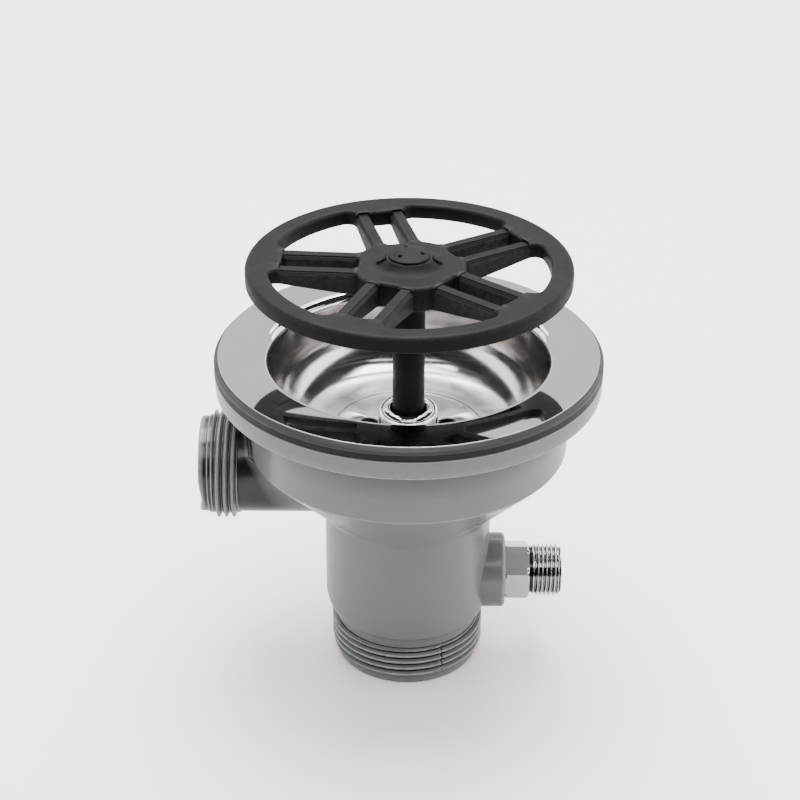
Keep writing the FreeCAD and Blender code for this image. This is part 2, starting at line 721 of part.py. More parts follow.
# Guide bush pressed into the hub from below, with a tab for the stem's keyway
bush = body_named("guide_bush")
bush_bore = stem_radius + running_gap
bush_base = hub_base - bush_flange_height - seat_gap
bush_top = hub_base + bush_height
bush_points = [
    (bush_bore, bush_base),
    (bush_flange, bush_base),
    (bush_flange, hub_base - seat_gap),
    (bush_radius - seat_gap, hub_base - seat_gap),
    (bush_radius - seat_gap, bush_top),
    (bush_bore, bush_top),
]
revolved(bush, "turning", bush_points)
tab_sketch = sketch_on(bush, "tab_profile", "XY_Plane", along=bush_base)
half_tab = key_width / 2 - running_gap
tab_reach = stem_radius - key_depth + running_gap
tab_root = bush_bore + (bush_radius - bush_bore) / 2
tab_points = [(-half_tab, tab_reach), (half_tab, tab_reach)]
tab_points += [(half_tab, tab_root), (-half_tab, tab_root)]
outline(tab_sketch, tab_points)
raised(bush, "tab", tab_sketch, bush_top - bush_base)

# Stem: keyway at the rear, hole for the fixing screw, spigot for foot and clip
stem = body_named("stem")
stem_foot = foot_base + foot_height
spigot_end = stem_foot - stem_spigot_length
groove_top = foot_base - running_gap
groove_base = groove_top - clip_height - running_gap
groove_radius = stem_spigot_radius - clip_depth
hole_radius = fixing_radius + fixing_gap
hole_base = stem_top - fixing_length
stem_points = [
    (0, spigot_end),
    (stem_spigot_radius - edge_bevel, spigot_end),
    (stem_spigot_radius, spigot_end + edge_bevel),
    (stem_spigot_radius, groove_base),
    (groove_radius, groove_base),
    (groove_radius, groove_top),
    (stem_spigot_radius, groove_top),
    (stem_spigot_radius, stem_foot),
    (stem_radius, stem_foot),
    (stem_radius, stem_top),
    (hole_radius, stem_top),
    (hole_radius, hole_base),
    (0, hole_base),
]
revolved(stem, "turning", stem_points)
keyway = sketch_on(stem, "keyway_profile", "XY_Plane", along=stem_foot)
half_key = key_width / 2
keyway_points = [(-half_key, stem_radius - key_depth), (half_key, stem_radius - key_depth)]
keyway_points += [(half_key, stem_radius * 2), (-half_key, stem_radius * 2)]
outline(keyway, keyway_points)
keyway_top = bush_top + lift_travel + key_margin
cut_out(stem, "keyway", keyway, keyway_top - stem_foot, turned_back=True)

# Foot that the crank pin lifts, held on the stem's spigot by a clip
foot = body_named("stem_foot")
foot_plan = sketch_on(foot, "plan", "XY_Plane", along=foot_base)
half_wide = foot_width / 2
half_long = foot_length / 2
outline(foot_plan, [
    (-half_wide, -half_long, foot_round),
    (half_wide, -half_long, foot_round),
    (half_wide, half_long, foot_round),
    (-half_wide, half_long, foot_round),
])
ring(foot_plan, 0, 0, stem_spigot_radius + fixing_gap)
raised(foot, "bar", foot_plan, foot_height - seat_gap)
clip("foot_clip", groove_radius + fixing_gap, "XY_Plane", groove_base + running_gap / 2)

# Carrier wheel with five pairs of ribs, a conical underside and a raised hub
wheel = body_named("carrier_wheel")
land_top = wheel_top - land_drop
rim_under = wheel_top - wheel_rim_height
socket_radius = stem_radius + fixing_gap
recess_base = stem_top + recess_floor
wheel_points = [
    (socket_radius, wheel_hub_base),
    (wheel_radius, wheel_hub_base),
    (wheel_radius, wheel_top, wheel_round),
    (cone_radius, wheel_top),
    (cone_bend_radius, wheel_top),
    (cone_top_radius, cone_top),
    (recess_radius, cone_top),
    (recess_radius, recess_base),
    (fixing_radius + running_gap, recess_base),
    (fixing_radius + running_gap, stem_top + seat_gap),
    (socket_radius, stem_top + seat_gap),
]
revolved(wheel, "blank", wheel_points)


def opening_sketch():
    """One large opening: two lines that follow the ribs and two arcs round the axis."""
    half_turn = 180.0 / pair_count
    sketch = sketch_on(wheel, "opening_profile", "XY_Plane", along=land_top, turn=pair_turn + half_turn)
    offset = rib_offset + rib_width / 2
    lean = math.radians(half_turn.value)
    ends = {}
    for radius in (opening_inner, opening_outer):
        run = math.sqrt(radius.value ** 2 - offset.value ** 2)
        across = run * math.cos(lean) + offset.value * math.sin(lean)
        up = run * math.sin(lean) - offset.value * math.cos(lean)
        ends[radius.text] = (across, up)
    near = ends[opening_inner.text]
    far = ends[opening_outer.text]
    upper = sketch.addGeometry(Part.LineSegment(FreeCAD.Vector(*near, 0), FreeCAD.Vector(*far, 0)), False)
    lower = sketch.addGeometry(Part.LineSegment(
        FreeCAD.Vector(near[0], -near[1], 0), FreeCAD.Vector(far[0], -far[1], 0)), False)
    bows = []
    for radius, spot in ((opening_inner, near), (opening_outer, far)):
        swing = math.atan2(spot[1], spot[0])
        circle = Part.Circle(FreeCAD.Vector(0, 0, 0), FreeCAD.Vector(0, 0, 1), radius.value)
        bows.append(sketch.addGeometry(Part.ArcOfCircle(circle, -swing, swing), False))
    for end, (bow, radius) in enumerate(zip(bows, (opening_inner, opening_outer)), start=1):
        sketch.addConstraint(Sketcher.Constraint("Coincident", bow, 3, -1, 1))
        sketch.addConstraint(Sketcher.Constraint("Coincident", bow, 2, upper, end))
        sketch.addConstraint(Sketcher.Constraint("Coincident", bow, 1, lower, end))
        tie(sketch, Sketcher.Constraint("Radius", bow, radius.value), radius)
    for line, sign in ((upper, 1), (lower, -1)):
        angle = sketch.addConstraint(Sketcher.Constraint("Angle", line, sign * lean))
        sketch.setExpression(f"Constraints[{angle}]", f"{sign} * {half_turn.text} * 1 deg")
        tie(sketch, Sketcher.Constraint("Distance", -1, 1, line, offset.value), offset)
    return sketch


blank_height = wheel_top - wheel_hub_base
opening = cut_out(wheel, "opening", opening_sketch(), blank_height * 3, both_ways=True)
openings = repeated(wheel, "openings", opening, pair_count, False)
rib_slot = sketch_on(wheel, "rib_slot_profile", "XY_Plane", along=land_top, turn=pair_turn)
half_rib_slot = rib_offset - rib_width / 2
outline(rib_slot, [
    (rib_slot_inner, -half_rib_slot, rib_slot_round),
    (rib_slot_outer, -half_rib_slot, rib_slot_round),
    (rib_slot_outer, half_rib_slot, rib_slot_round),
    (rib_slot_inner, half_rib_slot, rib_slot_round),
])
slot_cut = cut_out(wheel, "rib_slot", rib_slot, blank_height * 3, both_ways=True)
slots = repeated(wheel, "rib_slots", slot_cut, pair_count, False)


def upright_at(radius):
    """A test for upright corner edges of the large openings at a distance from the axis."""
    def test(edge, middle):
        near = abs(math.hypot(middle.x, middle.y) - radius.value) < 0.05
        tall = edge.BoundBox.ZLength > 2 and max(edge.BoundBox.XLength, edge.BoundBox.YLength) < 0.01
        return near and tall
    return test


def land_edge(edge, middle):
    """A test for the upper edges of all openings, which lie in the plane of the lands."""
    flat = edge.BoundBox.ZLength < 0.01 and abs(middle.z - land_top.value) < 0.01
    return flat and len(edge.Vertexes) == 2


outer_corners = edges_where(slots.Shape, upright_at(opening_outer))
rounded = dressed(wheel, "outer_corners", "Fillet", slots, outer_corners, opening_round_outer)
inner_corners = edges_where(rounded.Shape, upright_at(opening_inner))
dressed(wheel, "inner_corners", "Fillet", rounded, inner_corners, opening_round_inner)
underside = [
    (wheel_hub_radius, wheel_hub_base),
    (wheel_hub_radius, wheel_hub_base - wall),
    (wheel_radius + wall, wheel_hub_base - wall),
    (wheel_radius + wall, rim_under),
    (opening_outer - wheel_round, rim_under),
]
revolved(wheel, "underside", underside, cut=True)
recess = [
    (cone_radius, land_top),
    (land_radius, land_top),
    (land_radius + land_drop, wheel_top),
    (land_radius + land_drop, wheel_top + land_drop),
    (cone_bend_radius, wheel_top + land_drop),
]
lands = revolved(wheel, "lands", recess, cut=True)
land_edges = edges_where(lands.Shape, land_edge)
dressed(wheel, "bevels", "Chamfer", lands, land_edges, rib_bevel)

# Hub cap with a low dome, a plug and three small holes
cap = body_named("hub_cap")
cap_under = cone_top + cap_gap
cap_shoulder = cap_under + cap_edge
plug_radius = recess_radius - cap_plug_gap
cap_points = [
    (0, cap_under - cap_plug_length),
    (plug_radius, cap_under - cap_plug_length),
    (plug_radius, cap_under),
    (cap_radius, cap_under),
    (cap_radius, cap_shoulder),
    (cap_flat, cap_shoulder + cap_dome, cap_radius),
    (0, cap_shoulder + cap_dome),
]
revolved(cap, "moulding", cap_points)
holes = sketch_on(cap, "hole_profile", "XY_Plane", along=cap_shoulder + cap_dome, turn=cap_hole_turn)
ring(holes, cap_hole_place, 0, cap_hole_radius)
hole = cut_out(cap, "hole", holes, cap_dome * 2)
repeated(cap, "holes", hole, cap_hole_count, False)

# Fixing screw that holds the wheel on the stem
fixing = body_named("stem_screw")
head_base = recess_base + seat_gap
fixing_points = [
    (0, head_base - fixing_length + recess_floor),
    (fixing_radius, head_base - fixing_length + recess_floor + fixing_tip),
    (fixing_radius, head_base),
    (fixing_head_radius, head_base),
    (fixing_head_radius, head_base + fixing_head_height, fixing_head_round),
    (0, head_base + fixing_head_height),
]
revolved(fixing, "turning", fixing_points)
cross = sketch_on(fixing, "cross_profile", "XY_Plane", along=head_base + fixing_head_height)
arm = fixing_radius
blade = cross_blade
outline(cross, [
    (-arm, -blade), (-blade, -blade), (-blade, -arm), (blade, -arm), (blade, -blade), (arm, -blade),
    (arm, blade), (blade, blade), (blade, arm), (-blade, arm), (-blade, blade), (-arm, blade),
])
cut_out(fixing, "cross", cross, cross_depth)

# Control fitting, turned from hexagon bar, with its shank in the boss
fitting = body_named("control_fitting")
thread_start = boss_reach + hex_length + fitting_relief
fitting_points = [
    (fitting_inner, shaft_bore),
    (fitting_inner, shank_radius),
    (boss_reach + hex_length / 2, shank_radius),
    (boss_reach + hex_length / 2, fitting_neck),
    (thread_start, fitting_neck),
    (thread_start, control_thread),
    (fitting_end - control_bevel, control_thread),
    (fitting_end, control_thread - control_bevel),
    (fitting_end, shaft_radius + drive_room),
    (shaft_outer - drive_length, shaft_radius + drive_room),
    (shaft_outer - drive_length, shaft_bore),
]
revolved(fitting, "turning", fitting_points, axis="H_Axis", lift=boss_height)
hexagon = sketch_on(fitting, "hexagon_profile", "YZ_Plane", lift=boss_height, along=boss_reach)
hex_corner = hex_flats / math.sqrt(3)
hex_points = []
for corner in range(6):
    swing = math.radians(60 * corner + 30)
    hex_points.append((hex_corner * round(math.cos(swing), 9), hex_corner * round(math.sin(swing), 9)))
outline(hexagon, hex_points)
ring(hexagon, 0, 0, (shank_radius + shaft_bore) / 2)
raised(fitting, "hexagon", hexagon, hex_length)

# Washer in the boss's counterbore, under the hexagon
washer = body_named("fitting_washer")
washer_points = [
    (boss_reach - washer_height + seat_gap, shank_radius + washer_gap),
    (boss_reach - washer_height + seat_gap, washer_radius),
    (boss_reach - seat_gap, washer_radius),
    (boss_reach - seat_gap, shank_radius + washer_gap),
]
revolved(washer, "ring", washer_points, axis="H_Axis", lift=boss_height)

# Control shaft with seal grooves, clip grooves and a square at both ends
shaft = body_named("control_shaft")
seal_groove = shaft_radius + running_gap - seal_gap - seal_section * 2
groove_half = seal_section + running_gap
crank_outer = crank_place + crank_thickness
shaft_clip_place = fitting_inner - clip_height - running_gap * 2
arm_clip_place = crank_place - clip_height - running_gap
clip_groove = shaft_radius - clip_depth
arm_groove = square_side / 2 - clip_depth


def seal_recess(place):
    """The four corners of a seal's groove in the shaft."""
    return [
        (place - groove_half, shaft_radius), (place - groove_half, seal_groove),
        (place + groove_half, seal_groove), (place + groove_half, shaft_radius),
    ]


shaft_points = [(shaft_inner, 0), (shaft_inner, square_side / 2)]
shaft_points += [(arm_clip_place - running_gap, square_side / 2), (arm_clip_place - running_gap, arm_groove)]
shaft_points += [(crank_place, arm_groove), (crank_place, square_side / 2)]
shaft_points += [(crank_outer + seat_gap, square_side / 2), (crank_outer + seat_gap, shaft_radius)]
shaft_points += [(shaft_clip_place - running_gap, shaft_radius), (shaft_clip_place - running_gap, clip_groove)]
shaft_points += [(fitting_inner - running_gap, clip_groove), (fitting_inner - running_gap, shaft_radius)]
shaft_points += seal_recess(seal_place)
shaft_points += seal_recess(seal_place + seal_spacing)
shaft_points += [(shaft_outer - drive_length, shaft_radius), (shaft_outer - drive_length, square_side / 2)]
shaft_points += [(shaft_outer, square_side / 2), (shaft_outer, 0)]
revolved(shaft, "turning", shaft_points, axis="H_Axis", lift=boss_height)


def square_end(name, start, stop):
    """A square end on the shaft, for the crank arm or for the control."""
    flat = sketch_on(shaft, name + "_profile", "YZ_Plane", lift=boss_height, along=start)
    half = square_side / 2
    outline(flat, [(-half, -half), (half, -half), (half, half), (-half, half)])
    raised(shaft, name, flat, stop - start)


square_end("arm_square", crank_place, crank_outer + seat_gap)
square_end("drive_square", shaft_outer - drive_length, shaft_outer)

# Shaft seals, two rubber rings in the shaft's grooves


def shaft_seal(name, place):
    """A rubber ring round the shaft."""
    torus = doc.addObject("Part::Torus", name)
    torus.Label = name
    torus.setExpression("Radius1", (seal_groove + seal_section).text)
    torus.setExpression("Radius2", seal_section.text)
    torus.Placement = FreeCAD.Placement(FreeCAD.Vector(), FreeCAD.Rotation(FreeCAD.Vector(0, 1, 0), 90))
    torus.setExpression("Placement.Base.x", place.text)
    torus.setExpression("Placement.Base.z", boss_height.text)
    made.append((name, torus))


shaft_seal("shaft_seal_inner", seal_place)
shaft_seal("shaft_seal_outer", seal_place + seal_spacing)

# Crank arm on the shaft's inner square, with the pin that lifts the stem's foot
crank = body_named("crank_arm")
lean = math.radians(crank_rest.value)
pin_across = -crank_radius * math.sin(lean)
pin_up = crank_radius * math.cos(lean)
arm_sketch = sketch_on(crank, "arm_profile", "YZ_Plane", lift=boss_height, along=crank_place)
side_across = crank_half_width * math.cos(lean)
side_up = crank_half_width * math.sin(lean)
tip = 1 + crank_half_width / crank_radius
tail = crank_half_width / crank_radius
arm_round = crank_half_width * nearly_full
outline(arm_sketch, [
    (-pin_across * tail - side_across, -pin_up * tail - side_up, arm_round),
    (-pin_across * tail + side_across, -pin_up * tail + side_up, arm_round),
    (pin_across * tip + side_across, pin_up * tip + side_up, arm_round),
    (pin_across * tip - side_across, pin_up * tip - side_up, arm_round),
])
half_square = square_side / 2 + fixing_gap
outline(arm_sketch, [
    (-half_square, -half_square), (half_square, -half_square),
    (half_square, half_square), (-half_square, half_square),
])
raised(crank, "arm", arm_sketch, crank_thickness)
pin_sketch = sketch_on(crank, "pin_profile", "YZ_Plane", lift=boss_height, along=crank_place)
ring(pin_sketch, pin_across, pin_up, pin_radius)
raised(crank, "pin", pin_sketch, pin_length, turned_back=True)

clip("arm_clip", arm_groove + fixing_gap, "YZ_Plane", arm_clip_place, boss_height)
clip("shaft_clip", clip_groove + fixing_gap, "YZ_Plane", shaft_clip_place, boss_height)

doc.recompute()
os.makedirs("parts", exist_ok=True)
for item in doc.Objects:
    if "Invalid" in item.State or "Error" in item.State:
        raise RuntimeError(f"{item.Label} is {item.State}")
for name, item in made:
    shape = item.Shape
    if shape.isNull() or not shape.isValid() or not shape.Solids:
        raise RuntimeError(f"{name} has no sound solid")
    shape.exportStep(f"parts/{name}.step")
    print(f"{name}: {len(shape.Solids)} solid, {shape.Volume:.0f} mm3")
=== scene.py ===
# %% [markdown]
# A kitchen sink waste stands on a pale table. Its strainer cup and flange are polished steel, its
# housing is grey moulded plastic, and a black carrier wheel rides on a stem that slides through it.
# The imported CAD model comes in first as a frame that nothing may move. Every visible surface is
# then built again, finer, exactly where the frame says it is.

# %% Load the frame
import math

import bmesh
import bpy
import mathutils
import numpy as np
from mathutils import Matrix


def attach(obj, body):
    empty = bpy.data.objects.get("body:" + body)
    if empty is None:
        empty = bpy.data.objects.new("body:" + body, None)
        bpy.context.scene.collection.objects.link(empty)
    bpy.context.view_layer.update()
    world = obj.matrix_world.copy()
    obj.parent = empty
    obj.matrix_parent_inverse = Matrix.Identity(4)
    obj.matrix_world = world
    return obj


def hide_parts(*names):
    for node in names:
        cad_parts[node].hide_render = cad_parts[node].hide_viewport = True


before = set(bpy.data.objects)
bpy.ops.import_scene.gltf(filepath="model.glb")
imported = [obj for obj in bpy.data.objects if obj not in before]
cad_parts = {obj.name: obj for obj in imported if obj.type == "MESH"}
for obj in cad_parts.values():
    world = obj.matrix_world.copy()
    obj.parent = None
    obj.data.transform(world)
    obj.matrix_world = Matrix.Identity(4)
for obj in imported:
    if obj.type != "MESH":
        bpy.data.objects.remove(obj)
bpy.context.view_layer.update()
MM = 0.001

# %% [markdown]
# The photographer stood close and looked down by about thirty degrees, with a long lens, so circles
# show as flat ellipses with little perspective. A camera is a frame of three directions: the view,
# the right and the up direction. They are worked out from pitch, yaw and roll, so each angle can be
# read and corrected by itself.

# %% Camera
VIEW_PITCH = math.radians(29.356)
VIEW_YAW = math.radians(-0.28)
VIEW_ROLL = math.radians(0.253)
EYE = np.array([0.0, -0.5262, 0.3856])

ahead = np.array([
    math.sin(VIEW_YAW) * math.cos(VIEW_PITCH),
    math.cos(VIEW_YAW) * math.cos(VIEW_PITCH),
    -math.sin(VIEW_PITCH),
])
level = np.array([math.cos(VIEW_YAW), -math.sin(VIEW_YAW), 0.0])
upward = np.cross(level, ahead)
right = math.cos(VIEW_ROLL) * level + math.sin(VIEW_ROLL) * upward
above = -math.sin(VIEW_ROLL) * level + math.cos(VIEW_ROLL) * upward


def in_scene(name, data):
    """A new object of the scene for a mesh, a camera or a light."""
    shown = bpy.data.objects.new(name, data)
    bpy.context.scene.collection.objects.link(shown)
    return shown


lens = bpy.data.cameras.new("camera")
lens.sensor_width = 36.0
lens.lens = 89.65
camera = in_scene("camera", lens)
pose = np.eye(4)
pose[:3, :4] = np.stack([right, above, -ahead, EYE], axis=1)
camera.matrix_world = mathutils.Matrix(pose.tolist())
bpy.context.scene.camera = camera
print("camera looks along", ahead.round(3))

# %% [markdown]
# A surface is a grid of points, and a mesh is that grid with its corner numbers. Three helpers do
# this for every piece: one numbers the faces of a grid, one rounds the corners of a profile, and
# one turns a profile round an axis, as a lathe does.

# %% Faces of a grid
def grid_faces(rows, columns, rows_close=False, columns_close=True):
    """Corner numbers of the faces of a grid. Face (i, j) joins points (i, j), (i, j+1), (i+1, j+1)
    and (i+1, j), and the last row or column is followed by the first one where it closes."""
    row = np.arange(rows if rows_close else rows - 1)[:, None]
    column = np.arange(columns if columns_close else columns - 1)[None, :]
    next_row = (row + 1) % rows
    next_column = (column + 1) % columns
    corners = [
        row * columns + column,
        row * columns + next_column,
        next_row * columns + next_column,
        next_row * columns + column,
    ]
    return np.stack(corners, axis=-1).reshape(-1, 4)


def surface(points, rows_close=False, columns_close=True):
    """A grid of points (rows, columns, 3) as (points, faces)."""
    rows, columns = points.shape[:2]
    return points.reshape(-1, 3), grid_faces(rows, columns, rows_close, columns_close)


print("a closed strip of 2 rows and 6 columns has", len(grid_faces(2, 6)), "faces")

# %% Rounded profiles
def unit(vector):
    """The vector divided by its length."""
    return vector / np.linalg.norm(vector)


def profile(corners, closed=True, steps=6):
    """Points along a polygon. A corner (x, y, radius) becomes an arc that touches both of its sides:
    its centre lies on the corner's bisector, radius / sin(half the corner's angle) away."""
    spots = np.array([corner[:2] for corner in corners], float)
    count = len(spots)
    pieces = []
    for index, corner in enumerate(corners):
        at_end = not closed and index in (0, count - 1)
        if len(corner) == 2 or at_end:
            pieces.append(spots[index][None])
            continue
        radius = corner[2]
        back = unit(spots[index - 1] - spots[index])
        forth = unit(spots[(index + 1) % count] - spots[index])
        half = math.acos(np.clip(back @ forth, -1, 1)) / 2
        centre = spots[index] + unit(back + forth) * radius / math.sin(half)
        first = spots[index] + back * radius / math.tan(half) - centre
        last = spots[index] + forth * radius / math.tan(half) - centre
        swing = math.pi - 2 * half
        share = np.linspace(0, 1, steps + 1)[:, None]
        arc = np.sin((1 - share) * swing) * first + np.sin(share * swing) * last
        pieces.append(centre + arc / math.sin(swing))
    return np.vstack(pieces)


print("a round corner has", len(profile([(0, 0, 1), (9, 0), (0, 9)])) - 2, "points")

# %% Turning a profile round an axis
def directions(steps):
    """Angles of a full turn, without the last one, which is the first again."""
    return np.arange(steps) * 2 * math.pi / steps


def upright(radius, height, angle):
    """Points round the Z axis: (r cos a, r sin a, z)."""
    return np.stack([radius * np.cos(angle), radius * np.sin(angle), height + 0 * angle], axis=-1)


def sideways(radius, reach, angle, axis_height, sign):
    """Points round an axis along X at a height: (s x, r sin a, h + r cos a)."""
    across = radius * np.sin(angle)
    lift = axis_height + radius * np.cos(angle)
    return np.stack([sign * (reach + 0 * angle), across, lift], axis=-1)


def turned(outline, steps=256, closed=True):
    """A profile of (radius, height) points carried round the Z axis."""
    angle = directions(steps)[None, :]
    points = upright(outline[:, :1], outline[:, 1:], angle)
    return surface(points, rows_close=closed)


print("a full turn has", len(directions(256)), "directions")

# %% Marking edges and grooves
# At this curvature an edge takes the whole pale edge colour: rubbed wear and painted highlight.
EDGE_FULL = 2.2  # curvature, per mm, at which an edge counts as fully worn


def read(items, name, width, kind):
    """One property of all vertices or edges, as rows of 'width' numbers."""
    values = np.empty(len(items) * width, kind)
    items.foreach_get(name, values)
    return values.reshape(-1, width)


def mark_edges(mesh):
    """Store how sharply each point stands out as the attribute 'edge', and how deep it lies in a
    corner as 'groove', both 0 to 1. The finishes paint 'edge' points paler, partly as rubbed wear and
    partly as painted highlight, and paint 'groove' points darker as painted shade. For a neighbour at
    d from a point with normal n, -2 n.d / d.d is the curvature towards it; the mean is taken."""
    spots = read(mesh.vertices, "co", 3, np.float64) / MM
    normals = read(mesh.vertex_normals, "vector", 3, np.float32)
    first, second = read(mesh.edges, "vertices", 2, np.int32).T
    step = spots[second] - spots[first]
    length = np.maximum((step * step).sum(1), 0.01)
    bend = np.zeros(len(spots))
    count = np.zeros(len(spots))
    for here, sign in ((first, 1), (second, -1)):
        np.add.at(bend, here, -2 * sign * (normals[here] * step).sum(1) / length)
        np.add.at(count, here, 1)
    bend = bend / np.maximum(count, 1) * 2 / EDGE_FULL
    for name, amount in (("edge", bend), ("groove", -bend)):
        level = np.clip(amount, 0, 1).astype(np.float32)
        mesh.attributes.new(name, "FLOAT", "POINT").data.foreach_set("value", level)


print("an edge rounded with", round(1 / EDGE_FULL, 2), "mm or less counts as fully worn")


# %% Making a piece
def make_piece(name, parts, finish, body, stands_for=(), sharp=38):
    """One object from (points in mm, faces) parts: doubles merged, faces outward, smooth below a
    sharp angle. It rides on a CAD body and stands for CAD nodes."""
    mesh = bpy.data.meshes.new(name)
    points = []
    faces = []
    start = 0
    for part_points, part_faces in parts:
        points.append(np.asarray(part_points) * MM)
        faces += (np.asarray(part_faces) + start).tolist()
        start += len(part_points)
    mesh.from_pydata(np.vstack(points).tolist(), [], faces)
    tidy = bmesh.new()
    tidy.from_mesh(mesh)
    bmesh.ops.remove_doubles(tidy, verts=tidy.verts, dist=1e-6)
    bmesh.ops.dissolve_degenerate(tidy, edges=tidy.edges, dist=1e-7)
    bmesh.ops.recalc_face_normals(tidy, faces=tidy.faces)
    open_edges = sum(len(edge.link_faces) != 2 for edge in tidy.edges)
    tidy.to_mesh(mesh)
    tidy.free()
    mesh.shade_smooth()
    mesh.set_sharp_from_angle(angle=math.radians(sharp))
    mark_edges(mesh)
    piece = in_scene(name, mesh)
    mesh.materials.append(finishes[finish])
    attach(piece, body)
    if stands_for:
        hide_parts(*stands_for)
    mesh.calc_loop_triangles()
    print(f"{name}: {len(mesh.loop_triangles)} triangles, {open_edges} open edges")
    return piece

# %% [markdown]
# Moulded plastic and rubber never have one flat colour: the tool's surface leaves a fine grain, the
# melt leaves faint clouds, and handling rubs the proud edges paler; the same paler edges also paint
# the highlight that rounded crests catch, and corners and grooves are darkened as painted shade.
# Each effect is a node group with named inputs, built once and placed in every finish with its own
# values.

# %% Helpers for nodes
def new_group(name, inputs, outputs):
    """A shader node group with (name, type, default) inputs and (name, type) outputs."""
    group = bpy.data.node_groups.new(name, "ShaderNodeTree")
    for label, kind, default in inputs:
        socket = group.interface.new_socket(label, in_out="INPUT", socket_type=kind)
        socket.default_value = default
    for label, kind in outputs:
        group.interface.new_socket(label, in_out="OUTPUT", socket_type=kind)
    entry = group.nodes.new("NodeGroupInput")
    leave = group.nodes.new("NodeGroupOutput")
    return group, entry, leave


def noise_at(tree, size, detail=3.0):
    """Noise on the object's own coordinates, with its features about 'size' metres across."""
    place = tree.nodes.new("ShaderNodeTexCoord")
    scaled = tree.nodes.new("ShaderNodeMapping")
    scaled.inputs["Scale"].default_value = [1 / size] * 3
    tree.links.new(place.outputs["Object"], scaled.inputs["Vector"])
    noise = tree.nodes.new("ShaderNodeTexNoise")
    noise.inputs["Scale"].default_value = 1.0
    noise.inputs["Detail"].default_value = detail
    tree.links.new(scaled.outputs["Vector"], noise.inputs["Vector"])
    return noise


def ramp(tree, source, low, high, to_low=0.0, to_high=1.0):
    """Spread the values between low and high over to_low to to_high, and hold them beyond."""
    spread = tree.nodes.new("ShaderNodeMapRange")
    ends = {"From Min": low, "From Max": high, "To Min": to_low, "To Max": to_high}
    for label, value in ends.items():
        spread.inputs[label].default_value = value
    tree.links.new(source, spread.inputs["Value"])
    return spread.outputs["Result"]


def feed(tree, socket, value):
    """Link a socket to another socket, or set it to a number or a colour."""
    if isinstance(value, bpy.types.NodeSocket):
        tree.links.new(value, socket)
    elif isinstance(value, tuple):
        socket.default_value = (*value, 1)
    else:
        socket.default_value = value


def mixed(tree, share, first, second):
    """A colour between two, by a share that varies over the surface."""
    blend = tree.nodes.new("ShaderNodeMix")
    blend.data_type = "RGBA"
    for label, value in (("Factor", share), ("A", first), ("B", second)):
        feed(tree, blend.inputs[label], value)
    return blend.outputs["Result"]


def combined(tree, operation, first, second):
    """Two values put together by a Math node's operation; each is a socket or a number."""
    result = tree.nodes.new("ShaderNodeMath")
    result.operation = operation
    for socket, value in zip(result.inputs, (first, second)):
        feed(tree, socket, value)
    return result.outputs["Value"]


def times(tree, first, second):
    """The product of two values."""
    return combined(tree, "MULTIPLY", first, second)


def plus(tree, first, second):
    """The sum of two values."""
    return combined(tree, "ADD", first, second)


COLOR, FLOAT = "NodeSocketColor", "NodeSocketFloat"
MID_GREY = (0.5, 0.5, 0.5, 1)
print("kinds of sockets:", COLOR, FLOAT)

# %% Shared effect: clouds of tone
CLOUD_SIZE = 0.014
clouds, clouds_in, clouds_out = new_group(
    "tone_clouds",
    [("Color", COLOR, MID_GREY), ("Cloud Color", COLOR, MID_GREY), ("Amount", FLOAT, 0.5)],
    [("Color", COLOR)],
)
soft = ramp(clouds, noise_at(clouds, CLOUD_SIZE, 4.0).outputs["Fac"], 0.38, 0.66)
cloud_share = times(clouds, soft, clouds_in.outputs["Amount"])
clouded = mixed(clouds, cloud_share, clouds_in.outputs["Color"], clouds_in.outputs["Cloud Color"])
clouds.links.new(clouded, clouds_out.inputs["Color"])
print("group", clouds.name, "with features of", CLOUD_SIZE / MM, "mm")

# %% Shared effect: grain of a moulded or rubbed surface
GRAIN_SIZE = 0.00045
WAVE_SIZE = 0.009
grain, grain_in, grain_out = new_group(
    "surface_grain",
    [("Depth", FLOAT, 1.0), ("Waves", FLOAT, 1.0)],
    [("Height", FLOAT)],
)
fine = times(grain, noise_at(grain, GRAIN_SIZE, 2.0).outputs["Fac"], grain_in.outputs["Depth"])
waves = times(grain, noise_at(grain, WAVE_SIZE, 1.0).outputs["Fac"], grain_in.outputs["Waves"])
grain.links.new(plus(grain, fine, waves), grain_out.inputs["Height"])
print("group", grain.name, "with features of", GRAIN_SIZE / MM, "and", WAVE_SIZE / MM, "mm")

# %% Shared effect: rubbed edges with painted highlight, and painted shade in grooves
SCUFF_SIZE = 0.0016
# Colour and share of the painted shade that darkens grooves, corners and thread roots.
GROOVE_SHADE_COLOR = (0.004, 0.004, 0.004)
GROOVE_SHADE_SHARE = 0.95
wear_and_painted_light, wear_and_light_in, wear_and_light_out = new_group(
    "edge_wear_highlight_and_groove_shade",
    [("Color", COLOR, MID_GREY), ("Rubbed Color", COLOR, MID_GREY), ("Amount", FLOAT, 0.5)],
    [("Color", COLOR)],
)


def marked(name):
    """How strongly make_piece marked each point with an attribute."""
    attribute = wear_and_painted_light.nodes.new("ShaderNodeAttribute")
    attribute.attribute_name = name
    return attribute.outputs["Fac"]


# Edges are painted paler: partly rubbed wear, partly a painted highlight along crests and rims.
patchy = ramp(wear_and_painted_light, noise_at(wear_and_painted_light, SCUFF_SIZE, 3.0).outputs["Fac"], 0.2, 0.55)
wear_and_highlight_mask = times(wear_and_painted_light, ramp(wear_and_painted_light, marked("edge"), 0.15, 0.8), patchy)
wear_and_highlight_share = times(wear_and_painted_light, wear_and_highlight_mask, wear_and_light_in.outputs["Amount"])
plain_color, worn_and_highlight_color = wear_and_light_in.outputs["Color"], wear_and_light_in.outputs["Rubbed Color"]
wear_and_highlight_color = mixed(wear_and_painted_light, wear_and_highlight_share, plain_color, worn_and_highlight_color)
